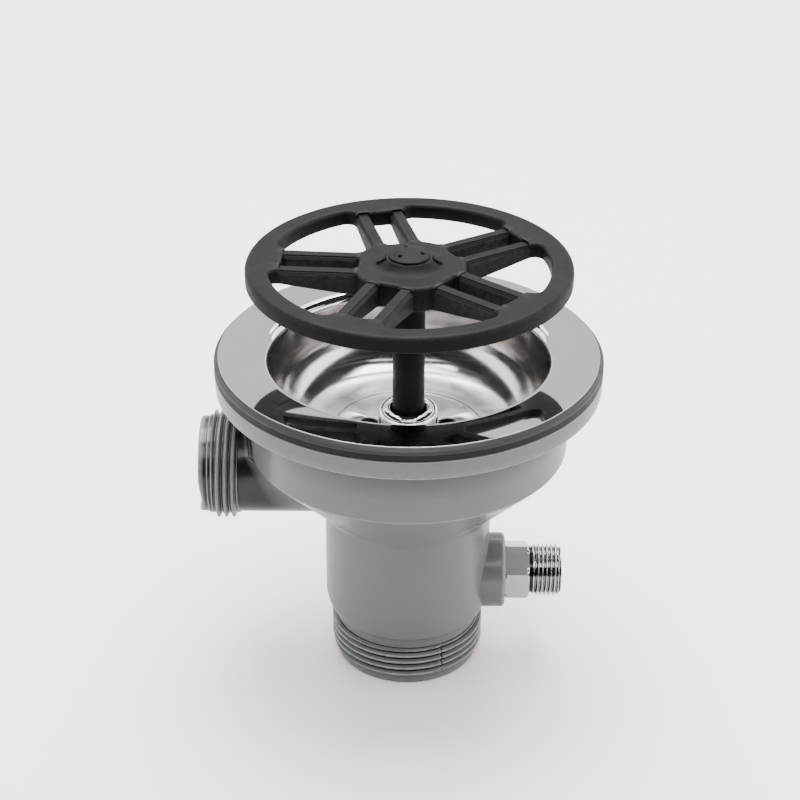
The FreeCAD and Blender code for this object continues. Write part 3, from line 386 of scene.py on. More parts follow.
# Concave points are painted nearly black: painted shade in grooves, corners and thread roots.
painted_groove_shade = ramp(wear_and_painted_light, marked("groove"), 0.08, 0.26, 0.0, GROOVE_SHADE_SHARE)
wear_and_painted_light.links.new(mixed(wear_and_painted_light, painted_groove_shade, wear_and_highlight_color, GROOVE_SHADE_COLOR), wear_and_light_out.inputs["Color"])
print("group", wear_and_painted_light.name, "with patches of", SCUFF_SIZE / MM, "mm")

# %% [markdown]
# A finish is one Principled shader with the effects in front of it. Plain numbers such as coat,
# metal or the depth of a bump sit on the shader itself, so an exported model keeps them, and only
# what changes over the surface runs through nodes.

# %% A finish
finishes = {}


def placed(tree, group, **values):
    """A node group placed in a finish, with its own values."""
    node = tree.nodes.new("ShaderNodeGroup")
    node.node_tree = group
    for label, value in values.items():
        feed(tree, node.inputs[label.replace("_", " ")], value)
    return node


def new_finish(
    name, color, cloud, amount, worn, rub_and_highlight, rough, rough_spread, depth, waves, bump, **shader,
):
    """A finish: clouds tint the base colour, edges are painted paler, partly as rubbed wear and partly
    as painted highlight, and grooves are darkened as painted shade; noise spreads the roughness, and
    the grain's height bends the normal by 'bump' metres."""
    finish = bpy.data.materials.new(name)
    finish.use_nodes = True
    tree = finish.node_tree
    gloss = tree.nodes["Principled BSDF"]
    for label, value in shader.items():
        gloss.inputs[label.replace("_", " ")].default_value = value
    toned = placed(tree, clouds, Color=color, Cloud_Color=cloud, Amount=amount)
    # Edges paint the colour paler, partly as wear and partly as highlight; grooves get painted shade.
    wear_and_painted_light_node = placed(tree, wear_and_painted_light, Color=toned.outputs["Color"], Rubbed_Color=worn, Amount=rub_and_highlight)
    tree.links.new(wear_and_painted_light_node.outputs["Color"], gloss.inputs["Base Color"])
    uneven = noise_at(tree, 0.006, 4.0)
    spread = ramp(tree, uneven.outputs["Fac"], 0.3, 0.7, rough - rough_spread, rough + rough_spread)
    tree.links.new(spread, gloss.inputs["Roughness"])
    texture = placed(tree, grain, Depth=depth, Waves=waves)
    relief = tree.nodes.new("ShaderNodeBump")
    relief.inputs["Strength"].default_value = 1.0
    relief.inputs["Distance"].default_value = bump
    tree.links.new(texture.outputs["Height"], relief.inputs["Height"])
    tree.links.new(relief.outputs["Normal"], gloss.inputs["Normal"])
    finishes[name] = finish
    print("finish", name)
    return finish

# %% [markdown]
# The cup is pressed from one sheet. Its flange is polished like a mirror, while the inside keeps the
# satin look of the press and of the tool that brushed the floor. One material can show all three,
# because each lies in its own zone: the distance from the axis and the height tell them apart.

# %% Spun steel
MOUTH_RADIUS = 0.0424
FLOOR_FROM, FLOOR_TO = 0.0803, 0.0822


def spin_steel(finish, bright, satin, floor):
    """Add to the roughness 'bright' on the flange, 'satin' more inside the mouth, where x x + y y is
    less than the mouth's radius squared, and 'floor' more on the floor; then brush round Z."""
    tree = finish.node_tree
    gloss = tree.nodes["Principled BSDF"]
    place = tree.nodes.new("ShaderNodeTexCoord")
    parts = tree.nodes.new("ShaderNodeSeparateXYZ")
    tree.links.new(place.outputs["Object"], parts.inputs["Vector"])
    x, y, z = parts.outputs
    reach = plus(tree, times(tree, x, x), times(tree, y, y))
    inside = ramp(tree, reach, (MOUTH_RADIUS - 0.001) ** 2, MOUTH_RADIUS**2, 1.0, 0.0)
    dull = ramp(tree, z, FLOOR_FROM, FLOOR_TO, floor, satin)
    patchy = ramp(tree, noise_at(tree, 0.004, 4.0).outputs["Fac"], 0.3, 0.7, 0.8, 1.2)
    satin_part = times(tree, times(tree, inside, dull), patchy)
    tree.links.new(plus(tree, satin_part, bright), gloss.inputs["Roughness"])
    round_axis = tree.nodes.new("ShaderNodeTangent")
    round_axis.direction_type = "RADIAL"
    round_axis.axis = "Z"
    tree.links.new(round_axis.outputs["Tangent"], gloss.inputs["Tangent"])


# %% Plastics and rubbers
# The body's pale edge colour and rub amount 0.8 paint the highlight along thread crests, on top of
# real edge wear.
new_finish(
    "body_plastic", (0.205, 0.205, 0.206), (0.190, 0.191, 0.192), 0.6, (0.46, 0.46, 0.46), 0.8,
    0.22, 0.03, 0.12, 0.5, 0.00002, Specular_IOR_Level=0.55,
)
new_finish(
    "black_plastic", (0.0068, 0.0065, 0.0065), (0.0088, 0.0084, 0.0082), 0.6,
    (0.045, 0.043, 0.042), 0.7, 0.5, 0.05, 0.3, 0.6, 0.00002, Specular_IOR_Level=0.12,
)
new_finish(
    "grey_rubber", (0.026, 0.0265, 0.027), (0.021, 0.0215, 0.022), 0.7, (0.05, 0.05, 0.05), 0.4,
    0.5, 0.07, 0.6, 0.8, 0.00004, Specular_IOR_Level=0.45,
)
new_finish(
    "black_rubber", (0.007, 0.007, 0.0075), (0.010, 0.010, 0.0105), 0.7, (0.02, 0.02, 0.02), 0.4,
    0.5, 0.07, 0.6, 0.8, 0.00004, Specular_IOR_Level=0.3,
)
new_finish(
    "white_plastic", (0.70, 0.69, 0.66), (0.64, 0.63, 0.60), 0.5, (0.8, 0.8, 0.78), 0.3,
    0.38, 0.05, 0.3, 0.8, 0.00003, Specular_IOR_Level=0.5,
)

# %% Metals
steel_sheet = new_finish(
    "cup_steel", (0.73, 0.705, 0.69), (0.67, 0.645, 0.63), 0.6, (0.9, 0.9, 0.9), 0.4,
    0.06, 0.02, 0.1, 0.6, 0.000002, Metallic=1.0, Anisotropic=0.55,
)
spin_steel(steel_sheet, 0.03, 0.12, 0.30)
new_finish(
    "chrome", (0.76, 0.755, 0.75), (0.72, 0.715, 0.71), 0.5, (0.85, 0.85, 0.85), 0.3,
    0.12, 0.02, 0.1, 0.3, 0.000002, Metallic=1.0,
)
new_finish(
    "brass", (0.72, 0.52, 0.24), (0.62, 0.43, 0.19), 0.6, (0.85, 0.68, 0.4), 0.4,
    0.28, 0.06, 0.3, 0.5, 0.00002, Metallic=1.0,
)
new_finish(
    "steel", (0.60, 0.60, 0.60), (0.54, 0.54, 0.545), 0.5, (0.75, 0.75, 0.75), 0.4,
    0.26, 0.05, 0.3, 0.5, 0.00002, Metallic=1.0,
)

# %% [markdown]
# The housing is one thin moulded shell: a wide bowl under the sink's flange, a cone, and a neck
# that ends in a coarse thread. The thread is a ridge that climbs one pitch for each turn, so its
# radius is a function of height and angle together, sampled densely enough to keep its crest sharp.

# %% Main sizes of the housing
BOWL_RADIUS = 48.3
WALL = 2.8
NECK_RADIUS = 25.75
RIM_RADIUS = 58.0
RIM_BASE = 96.8
RIM_TOP = 102.6
RIM_INNER_TOP = 100.78
NECK_BASE = 18.0
NECK_SHOULDER = 21.0
CONE_BASE = 53.6
CONE_TOP = CONE_BASE + BOWL_RADIUS - NECK_RADIUS
THREAD_ROOT = 22.42
THREAD_CREST = 23.9
THREAD_PITCH = 2.309
THREAD_FROM = 3.8
THREAD_TO = 13.04
OUTLET_BORE = 20.4
NECK_BORE = 22.95
print("bowl radius", BOWL_RADIUS, "rim radius", RIM_RADIUS, "cone up to", round(CONE_TOP, 2))


# %% A thread's ridge
def ridge(turns, foot=0.42, crest=0.06):
    """Height, 0 to 1, of a thread at a place in turns from its crest: flat within 'crest', falling
    to 0 at 'foot' by the smooth step t t (3 - 2 t), and nothing between two ridges."""
    offset = np.abs((turns + 0.5) % 1 - 0.5)
    share = np.clip((foot - offset) / (foot - crest), 0, 1)
    return share * share * (3 - 2 * share)


def fading(height, low, high, run):
    """1 within (low, high) and falling to 0 over 'run' outside it."""
    return np.clip(np.minimum(height - low, high - height) / run + 1, 0, 1)


def straight(radius, start, end, steps):
    """Points (radius, place) in a straight row, dense enough to carry a thread's ridge."""
    return np.stack([np.full(steps, radius), np.linspace(start, end, steps)], axis=1)


print("a ridge at 0, 0.2 and 0.5 turns from its crest:", ridge(np.array([0.0, 0.2, 0.5])).round(2))

# %% Outline of the housing shell
BEAD_RADIUS = 58.25
BOWL_BORE = BOWL_RADIUS - WALL
shell_outline = np.vstack([
    profile([
        (OUTLET_BORE, 0, 0.2), (21.92, 0), (THREAD_ROOT, 0.5), (THREAD_ROOT, THREAD_FROM - 0.8),
    ], False),
    straight(THREAD_ROOT, THREAD_FROM - 0.6, THREAD_TO + 0.6, 110),
    profile([
        (THREAD_ROOT, THREAD_TO + 0.9), (THREAD_ROOT, NECK_BASE, 0.25), (24.4, NECK_BASE, 0.25),
        (NECK_RADIUS, NECK_SHOULDER, 12.0), (NECK_RADIUS, CONE_BASE, 4.5),
        (BOWL_RADIUS, CONE_TOP, 0.9), (BOWL_RADIUS, RIM_BASE, 0.5),
        (RIM_RADIUS, RIM_BASE, 0.4), (RIM_RADIUS, 101.6, 0.1),
        (BEAD_RADIUS, 101.9, 0.2), (BEAD_RADIUS, 102.45, 0.2), (57.2, RIM_TOP, 0.3),
        (BOWL_BORE, RIM_INNER_TOP, 0.3), (BOWL_BORE, 77.31, 2.5),
        (NECK_BORE, 54.76, 2.5), (NECK_BORE, 20.55, 0.8),
        (OUTLET_BORE, NECK_BASE, 0.8), (OUTLET_BORE, 0.4),
    ], False),
])
print("the shell's outline has", len(shell_outline), "points")

# %% Housing shell
SEAM_AZIMUTH = math.radians(-62 + 360)
SEAM_HALF_WIDTH = 0.45
around = directions(400)[None, :]
shell_height = shell_outline[:, 1:] + 0 * around
is_outside = shell_outline[:, :1] > OUTLET_BORE + 0.5
on_thread = fading(shell_height, THREAD_FROM + 0.1, THREAD_TO - 0.1, 0.5) * is_outside
off_seam = np.abs(around - SEAM_AZIMUTH) * THREAD_CREST
seam_depth = 0.55 + 0.3 * np.sin(2.1 * shell_height)
on_thread = on_thread * (1 - np.clip(1 - off_seam / SEAM_HALF_WIDTH, 0, 1) * seam_depth)
climb = shell_height / THREAD_PITCH - around / (2 * math.pi)
shell_radius = shell_outline[:, :1] + (THREAD_CREST - THREAD_ROOT) * ridge(climb) * on_thread
shell_points = upright(shell_radius, shell_height, around)
housing_shell = make_piece(
    "housing_shell", [surface(shell_points, rows_close=True)], "body_plastic", "housing",
    ("body", "outlet_neck"), 30,
)

# %% [markdown]
# Two branches leave the shell sideways: the overflow spigot to the left, through bowl and cone, and
# the boss for the control to the right, from the neck. A branch starts on a saddle, the curve on
# which its tube meets the round wall: a point at (y, z) of the tube lies where the wall's radius at
# height z gives x = sqrt(R(z)^2 - y^2). The tube could be joined to the shell by a Boolean, but the
# saddle is exact and keeps an even grid. Only the holes into the shell are cut by a Boolean.

# %% Cutting a piece
def cut(piece, cutters):
    """Take closed (points in mm, faces) shapes out of a piece with exact Booleans, and apply them."""
    for points, faces in cutters:
        shape = bpy.data.meshes.new("cutter")
        shape.from_pydata((points * MM).tolist(), [], [list(map(int, face)) for face in faces])
        solid = bmesh.new()
        solid.from_mesh(shape)
        bmesh.ops.remove_doubles(solid, verts=solid.verts, dist=1e-6)
        bmesh.ops.recalc_face_normals(solid, faces=solid.faces)
        solid.to_mesh(shape)
        solid.free()
        tool = in_scene("cutter", shape)
        change = piece.modifiers.new("cut", "BOOLEAN")
        change.operation = "DIFFERENCE"
        change.solver = "EXACT"
        change.object = tool
        graph = bpy.context.evaluated_depsgraph_get()
        cut_mesh = bpy.data.meshes.new_from_object(piece.evaluated_get(graph))
        piece.modifiers.clear()
        old = piece.data
        piece.data = cut_mesh
        bpy.data.meshes.remove(old)
        bpy.data.objects.remove(tool)
        bpy.data.meshes.remove(shape)
    print(piece.name, "cut by", len(cutters), "shapes:", len(piece.data.polygons), "faces")


# %% Holes for the branches
SPIGOT_AXIS = 66.9
SPIGOT_BORE = 12.4
BOSS_AXIS = 28.2
BOSS_BORE = 7.08


def rod(radius, start, end, axis_height, steps=96):
    """A closed cylinder along X, from start to end."""
    sign = 1 if end > 0 else -1
    low, high = abs(start), abs(end)
    outline = np.array([(0.001, low), (radius, low), (radius, high), (0.001, high)])
    points = sideways(outline[:, :1], outline[:, 1:], directions(steps)[None, :], axis_height, sign)
    return surface(points)


cut(housing_shell, [
    rod(SPIGOT_BORE, -15, -60, SPIGOT_AXIS),
    rod(BOSS_BORE, 10, 40, BOSS_AXIS),
])


# %% Saddles on the shell's wall
def wall_radius(height, inset):
    """Radius of the shell's outside at a height, less an inset."""
    heights = [0, NECK_BASE - 0.01, NECK_BASE, NECK_SHOULDER, CONE_BASE, CONE_TOP, RIM_BASE]
    radii = [THREAD_ROOT, THREAD_ROOT, 24.5, NECK_RADIUS, NECK_RADIUS, BOWL_RADIUS, BOWL_RADIUS]
    return np.interp(height, heights, radii) - inset


def saddle(radius, angle, axis_height, inset):
    """Distance from the housing's axis at which a sideways tube's point meets the shell's wall."""
    across = radius * np.sin(angle)
    height = axis_height + radius * np.cos(angle)
    return np.sqrt(np.maximum(wall_radius(height, inset) ** 2 - across**2, 1))


SPIGOT_TUBE = 14.7
FLARE = 1.5
SUNK = 1.2
spin = directions(288)[None, :]
swing = np.linspace(0, math.pi / 2, 7)[:, None]
flare_radius = SPIGOT_TUBE + FLARE * (1 - np.sin(swing))
flare_reach = saddle(flare_radius, spin, SPIGOT_AXIS, 0.05) + FLARE * (1 - np.cos(swing))
root_reach = saddle(flare_radius[:1], spin, SPIGOT_AXIS, SUNK)
print("the spigot starts", flare_reach.min().round(1), "to", flare_reach.max().round(1), "mm out")

# %% Outside and thread of the spigot
SPIGOT_COLLAR = 51.7
SPIGOT_END = 63.5
SPIGOT_ROOT = SPIGOT_TUBE + 0.45
RIDGE_FROM = 52.4
RIDGE_TO = 59.3
RIDGE_PITCH = 2.309
RIDGE_CREST = 16.62
RIDGE_SHIFT = 0.6
outside = np.vstack([
    [(SPIGOT_TUBE, SPIGOT_COLLAR - 0.25), (SPIGOT_ROOT, SPIGOT_COLLAR)],
    straight(SPIGOT_ROOT, RIDGE_FROM - 0.5, RIDGE_TO + 0.5, 180),
    profile([(SPIGOT_ROOT, 60.7), (SPIGOT_TUBE, 61.1), (SPIGOT_TUBE, SPIGOT_END, 0.5),
             (SPIGOT_BORE, SPIGOT_END, 0.5), (SPIGOT_BORE, 58)], False),
])
tube_reach = outside[:, 1:] + 0 * spin
on_ridge = fading(tube_reach, RIDGE_FROM, RIDGE_TO, 0.5) * (outside[:, :1] > SPIGOT_TUBE + 0.2)
climb = (tube_reach + RIDGE_SHIFT) / RIDGE_PITCH + spin / (2 * math.pi)
tube_radius = outside[:, :1] + (RIDGE_CREST - SPIGOT_ROOT) * ridge(climb, 0.47) * on_ridge
print("the spigot's thread has", round((RIDGE_TO - RIDGE_FROM) / RIDGE_PITCH, 1), "turns")

# %% Overflow spigot
CHIP_DEPTH = 0.75
bore_reach = saddle(SPIGOT_BORE, spin, SPIGOT_AXIS, SUNK)
spigot_radius = np.vstack([
    flare_radius[:1] + 0 * spin, flare_radius + 0 * spin, tube_radius, SPIGOT_BORE + 0 * spin,
])
spigot_reach = np.vstack([root_reach, flare_reach, tube_reach, bore_reach])
chip = np.interp(np.degrees(spin), [231, 238, 256, 278], [0, 1, 0.85, 0]) * CHIP_DEPTH
near_mouth = np.clip((spigot_reach - SPIGOT_END + 1.6) / 1.2, 0, 1)
spigot_reach = spigot_reach - chip * near_mouth
spigot_points = sideways(spigot_radius, spigot_reach, spin + 0 * spigot_radius, SPIGOT_AXIS, -1)
make_piece(
    "overflow_tube", [surface(spigot_points, rows_close=True)], "body_plastic", "housing",
    ("overflow_spigot",), 30,
)

# %% Control boss
BOSS_RADIUS = 11.8
BOSS_END = 30.8
BOSS_ROUND = 1.4
WASHER_SEAT = 8.5
WASHER_DEPTH = 1.2
boss_outline = profile([
    (BOSS_RADIUS, 27.5), (BOSS_RADIUS, BOSS_END, BOSS_ROUND),
    (WASHER_SEAT, BOSS_END, 0.25), (WASHER_SEAT, BOSS_END - WASHER_DEPTH),
    (BOSS_BORE, BOSS_END - WASHER_DEPTH, 0.2), (BOSS_BORE, 27),
], False)
boss_radius = np.vstack([BOSS_RADIUS + 0 * spin, boss_outline[:, :1] + 0 * spin, BOSS_BORE + 0 * spin])
boss_reach = np.vstack([
    saddle(BOSS_RADIUS, spin, BOSS_AXIS, 1.0),
    boss_outline[:, 1:] + 0 * spin,
    saddle(BOSS_BORE, spin, BOSS_AXIS, 1.0),
])
boss_points = sideways(boss_radius, boss_reach, spin + 0 * boss_radius, BOSS_AXIS, 1)
make_piece(
    "control_nozzle", [surface(boss_points, rows_close=True)], "body_plastic", "housing",
    ("control_boss",), 30,
)

# %% [markdown]
# The sink's sheet sits between the steel flange above and the housing's rim below, sealed by a rubber
# ring on each side. Without a sink the two rings lie on each other, and only their edges show. Each
# ring is a profile turned round the axis, because its lips are too fine for bevelled cylinders.

# %% Flange gaskets
GASKET_BORE = 45.5
GASKET_SLOPE = 0.158
SEAM_Z = 104.6
drop = (57.9 - GASKET_BORE) * GASKET_SLOPE
for name, node, finish, corners in (
    ("seal_ring_lower", "lower_gasket", "black_rubber", [
        (GASKET_BORE, 102.63 - drop, 0.2), (57.95, 102.63, 0.35), (57.95, SEAM_Z - 0.02, 0.05),
        (GASKET_BORE, SEAM_Z - 0.02 - drop, 0.2),
    ]),
    ("seal_ring_upper", "upper_gasket", "grey_rubber", [
        (GASKET_BORE, SEAM_Z - drop, 0.2), (58.1, SEAM_Z, 0.05), (58.25, 105.5, 0.5),
        (57.15, 106.5, 0.3), (56.4, 106.12), (GASKET_BORE, 104.4, 0.2),
    ]),
):
    make_piece(name, [turned(profile(corners), 360)], finish, "housing", (node,))

# %% [markdown]
# Cup and flange are drawn from one sheet of steel: the flange falls a little towards the mouth, rolls
# over into a steep wall, and the wall turns with a wide radius into a floor with a sunken middle. The
# outline runs down the upper side and back up the lower side, so the sheet has its true thickness.
# The drain slots are cut out afterwards, because they are not round about the axis.

# %% Strainer cup and flange
FLANGE_RADIUS = 57
CUP_FLOOR = 80.2
SUNKEN_FLOOR = 79.7
SCREW_HOLE = 7.3
cup_outline = profile([
    (FLANGE_RADIUS, 106.85, 0.1), (42.0, 106.3, 3.0), (40.9, CUP_FLOOR, 15),
    (23.2, CUP_FLOOR, 0.3), (22.6, SUNKEN_FLOOR, 0.3), (SCREW_HOLE, SUNKEN_FLOOR, 0.1),
    (SCREW_HOLE, 79.1, 0.1), (23.2, 79.1, 0.3), (23.8, 79.6, 0.3), (41.5, 79.6, 15.6),
    (42.6, 105.7, 2.4), (55.6, 106.18), (FLANGE_RADIUS, 106.57, 0.08),
], True, 16)
cup_shell = make_piece(
    "cup_sheet", [turned(cup_outline, 360)], "cup_steel", "housing", ("strainer_cup",), 30,
)

# %% Drain slots
SLOTS = 5
FIRST_SLOT = 18


def drain_slot(angle, width=5.0, inner=9.7, outer=15.5, low=78.5, high=80.8, steps=12):
    """A closed upright slot with round ends, pointing away from the axis at an angle."""
    half = width / 2
    bend = np.linspace(-math.pi / 2, math.pi / 2, steps)
    along = np.concatenate([outer - half + half * np.cos(bend), inner + half - half * np.cos(bend)])
    aside = np.concatenate([half * np.sin(bend), -half * np.sin(bend)])
    x = along * math.cos(angle) - aside * math.sin(angle)
    y = along * math.sin(angle) + aside * math.cos(angle)
    count = len(x)
    points = np.vstack([np.stack([x, y, np.full(count, level)], 1) for level in (low, high)])
    lids = [list(range(count))[::-1], list(range(count, 2 * count))]
    return points, grid_faces(2, count).tolist() + lids


cut(cup_shell, [drain_slot(math.radians(FIRST_SLOT + 360 / SLOTS * k)) for k in range(SLOTS)])

# %% [markdown]
# A hollow screw through the cup's floor pulls the stack together, and the stem slides through it. Its
# head is a plain polished collar, so one turned profile is all it takes. Its edge is well rounded,
# because the bright ring that it shows is what a wide radius mirrors.

# %% Collar screw
COLLAR_BORE = 5.4
SHANK_RADIUS = 6.95
COLLAR_RADIUS = 8.95
COLLAR_TOP = 87.8
collar_outline = profile([
    (COLLAR_BORE, 68.2, 0.3), (SHANK_RADIUS, 68.2, 0.5), (SHANK_RADIUS, 79.68),
    (COLLAR_RADIUS, 79.7, 0.3), (COLLAR_RADIUS, COLLAR_TOP, 2.1), (COLLAR_BORE, COLLAR_TOP, 1.3),
], True, 10)
make_piece(
    "collar_screw_head", [turned(collar_outline, 192)], "chrome", "housing", ("collar_screw",), 30,
)

# %% [markdown]
# The control's cable screws onto a plated fitting. It is turned from a hexagon bar: the bar's corners
# are bevelled in the lathe, so the hexagon's ends are round, and then comes a relief and a fine
# thread. In polar form the bar is simple: at an angle a from the middle of a flat, its radius is
# (half the flats) / cos a, and the bevel is the smaller of that radius and the lathe's.

# %% Hexagon of the control fitting
HEX_FLATS = 16.5
HEX_TURN = math.radians(-7.5)
HEX_FROM = 30.82
HEX_TO = 38.4
fit_spin = directions(240)[None, :]
hex_corner = HEX_FLATS / math.sqrt(3)
hex_rows = np.array([
    (HEX_FROM, hex_corner - 0.75), (HEX_FROM + 0.45, hex_corner), (HEX_FROM + 0.5, hex_corner),
    (HEX_TO - 0.65, hex_corner), (HEX_TO - 0.6, hex_corner), (HEX_TO, hex_corner - 0.95),
])
hex_reach, hex_turned = hex_rows[:, :1], hex_rows[:, 1:]
past_corner = (fit_spin - HEX_TURN) % (math.pi / 3)
flat_radius = HEX_FLATS / 2 / np.cos(past_corner - math.pi / 6)
hex_radius = np.minimum(flat_radius, hex_turned)
print("the hexagon is", round(2 * hex_corner, 2), "mm over its corners")

# %% Control fitting
FITTING_END = 48.6
FITTING_CREST = 8.33
FITTING_ROOT = 7.25
FITTING_PITCH = 1.337
RELIEF = 7.3
LEAD_IN = 7.75
MOUTH_BORE = 5.9
SHAFT_BORE = 3.98
SHANK = 7.0
SHANK_FROM = 21.5
screw_outline = np.vstack([
    profile([(RELIEF, HEX_TO, 0.05), (RELIEF, 39.3, 0.2), (LEAD_IN, 39.6, 0.1), (LEAD_IN, 40.0, 0.1),
             (FITTING_ROOT, 40.1)], False, 3),
    straight(FITTING_ROOT, 40.3, 47.8, 120),
    profile([(FITTING_ROOT, 48.0), (FITTING_ROOT, FITTING_END, 0.25), (MOUTH_BORE, FITTING_END, 0.3),
             (MOUTH_BORE, 41.0, 0.3), (SHAFT_BORE, 41.0, 0.2), (SHAFT_BORE, SHANK_FROM, 0.3),
             (SHANK, SHANK_FROM, 0.4), (SHANK, HEX_FROM)], False, 4),
])
screw_reach = screw_outline[:, 1:] + 0 * fit_spin
at_root = np.abs(screw_outline[:, :1] - FITTING_ROOT) < 0.01
on_screw = fading(screw_reach, 40.4, 47.4, 0.5) * at_root
climb = screw_reach / FITTING_PITCH - fit_spin / (2 * math.pi)
screw_radius = screw_outline[:, :1] + (FITTING_CREST - FITTING_ROOT) * ridge(climb) * on_screw
fit_radius = np.vstack([hex_radius, screw_radius])
fit_reach = np.vstack([hex_reach + 0 * fit_spin, screw_reach])
fit_points = sideways(fit_radius, fit_reach, fit_spin + 0 * fit_radius, BOSS_AXIS, 1)
make_piece(
    "hex_fitting", [surface(fit_points, rows_close=True)], "chrome", "housing",
    ("control_fitting",), 50,
)

# %% [markdown]
# The carrier wheel is the finest moulding of the product. Five pairs of ribs join hub and rim, and
# each rib has a raised land with a small step on both sides. Its plan is drawn once, for half a rib
# pair, with complex numbers a + i o: a along the pair and o across it. Growing an opening outwards by
# e keeps the centres of its corner arcs and adds e to their radii, so every loop of the rounded edge
# comes from the same arcs. Mirroring and turning give the other nine halves.

# %% Carrier wheel: sizes
PAIRS = 5
PAIR_TURN = math.radians(104)
HALF_PAIR = 180 / PAIRS
WHEEL_RADIUS = 48.1
RIM_Z = 135.75
HUB_Z = 135.3
LAND_Z = 135.05
UNDER_EDGE = 131.05
UNDER_HUB = 127.2
OPENING_OUTER = 41.5
OPENING_INNER = 16.7
OPENING_SIDE = 7.55
SLOT_SIDE = 3.25
SLOT_OUTER = 37.6
SLOT_INNER = 15.0
outer_centre, outer_fillet = 37.03 + 10.55j, 3.0
inner_centre, inner_fillet = 15.61 + 8.75j, 1.2
slot_outer_centre, slot_outer_fillet = 36.8 + 2.45j, 0.8
slot_inner_centre, slot_inner_fillet = 16.2 + 2.05j, 1.2
outer_turn = math.degrees(np.angle(outer_centre))
inner_turn = math.degrees(np.angle(inner_centre))
stations = np.linspace(36.2, 16.6, 14)  # places along a rib, from the rim to the hub
print("corner arcs start at", round(outer_turn, 1), "and", round(inner_turn, 1), "degrees")


# %% Carrier wheel: plan of an opening and a slot
def arc(centre, radius, first, last, steps):
    """An arc from one angle to another in degrees, as complex numbers; one row per radius."""
    turn = np.radians(np.linspace(first, last, steps))
    return centre + radius * np.exp(1j * turn)


def opening_plan(rim, land, hub):
    """Half an opening grown by three columns of growths, one for each zone: at the rim, along the
    rib and at the hub."""
    side = 1j * (OPENING_SIDE - land)
    return [
        np.hstack([
            arc(0, OPENING_OUTER + rim, HALF_PAIR, outer_turn, 14)[:, :-1],
            arc(outer_centre, outer_fillet + rim, outer_turn, -80, 12),
        ]),
        np.hstack([
            arc(outer_centre, outer_fillet + land, -80, -90, 3),
            stations + side,
            np.array([16.2, 15.9, 15.61]) + side,
        ]),
        np.hstack([
            arc(inner_centre, inner_fillet + hub, -90, inner_turn - 180, 9)[:, :-1],
            arc(0, OPENING_INNER - hub, inner_turn, HALF_PAIR, 5),
        ]),
    ]


def slot_plan(rim, land, hub):
    """Half a slot, from the middle of its outer end to the middle of its inner end."""
    return [
        np.hstack([
            SLOT_OUTER + rim + 1j * np.array([0, 1.2]),
            arc(slot_outer_centre, slot_outer_fillet + rim, 0, 56, 7),
        ]),
        np.hstack([
            arc(slot_outer_centre, slot_outer_fillet + land, 56, 90, 3),
            stations + 1j * (SLOT_SIDE + land),
            arc(slot_inner_centre, slot_inner_fillet + land, 90, 106, 3),
        ]),
        np.hstack([
            arc(slot_inner_centre, slot_inner_fillet + hub, 106, 180, 8),
            SLOT_INNER - hub + 1j * np.array([1.0, 0]),
        ]),
    ]


print("one slot is", 2 * SLOT_SIDE, "mm wide and", round(SLOT_OUTER - SLOT_INNER, 1), "mm long")

# %% Carrier wheel: profiles of the edges
def under(plan):
    """Height of the wheel's underside: a cone from the hub that ends flat under the rim."""
    climb = (np.abs(plan) - 12) / 28.2 * (UNDER_EDGE - UNDER_HUB)
    return np.clip(UNDER_HUB + climb, UNDER_HUB, UNDER_EDGE)


def rounded_edge(reach, top, steps=7):
    """Growths and heights of a quarter round between a wall and the top face."""
    swing = np.linspace(0, math.pi / 2, steps + 1)
    return reach * (1 - np.cos(swing)), top - reach * (1 - np.sin(swing))


land_growth = np.array([0, 0.05, 0.36, 0.68, 0.76, 0.78, 0.85, 1.0])
land_height = np.array([133.75, 133.88, 134.24, 134.6, 134.66, 134.98, LAND_Z, LAND_Z])
FOOT_BEVEL = 0.3


def edge_loops(plan_of, rim_reach, hub_reach):
    """Plan and height of the loops up a wall, zone by zone: the bevelled foot, then the upper edge."""
    tops = [rounded_edge(rim_reach, RIM_Z), (land_growth, land_height), rounded_edge(hub_reach, HUB_Z)]
    growths = [np.concatenate([[FOOT_BEVEL, 0], growth])[:, None] for growth, height in tops]
    plans = plan_of(*growths)
    heights = []
    for plan, (growth, height) in zip(plans, tops):
        foot = under(plan[:2]) + np.array([[0], [FOOT_BEVEL]])
        heights.append(np.vstack([foot, height[:, None] + 0 * plan[2:].real]))
    return plans, heights


opening_loops, opening_heights = edge_loops(opening_plan, 1.2, 1.1)
slot_loops, slot_heights = edge_loops(slot_plan, 0.9, 1.1)
print("a wall has", [len(height) for height in opening_heights], "loops at rim, land and hub")

# %% Carrier wheel: half a pair
RIM, LAND, HUB = 0, 1, 2
TOP, FOOT = -1, 0
halves = []


def add_half(plan, height):
    """Keep one grid of the half pair."""
    halves.append((plan, height + 0 * plan.real))


def bridged(first, last, steps=5):
    """Rows of points from one curve to another."""
    share = np.linspace(0, 1, steps)[:, None]
    return first * (1 - share) + last * share


for loops, heights in ((opening_loops, opening_heights), (slot_loops, slot_heights)):
    add_half(np.hstack(loops), np.hstack(heights))
for level, raised in ((TOP, LAND_Z), (FOOT, None)):
    strip = bridged(slot_loops[LAND][level], opening_loops[LAND][level])
    add_half(strip, under(strip) if raised is None else raised)
for zone, end, top in ((RIM, 0, RIM_Z), (HUB, -1, HUB_Z)):
    meeting = -1 if zone == RIM else 0
    upper = bridged(slot_loops[zone][TOP][[meeting]], opening_loops[zone][TOP][[meeting]])
    lower = bridged(slot_loops[LAND][TOP][[end]], opening_loops[LAND][TOP][[end]])
    add_half(np.hstack([upper, lower]), np.array([[top, LAND_Z]]))
print("walls and rib faces of half a pair are", len(halves), "grids")


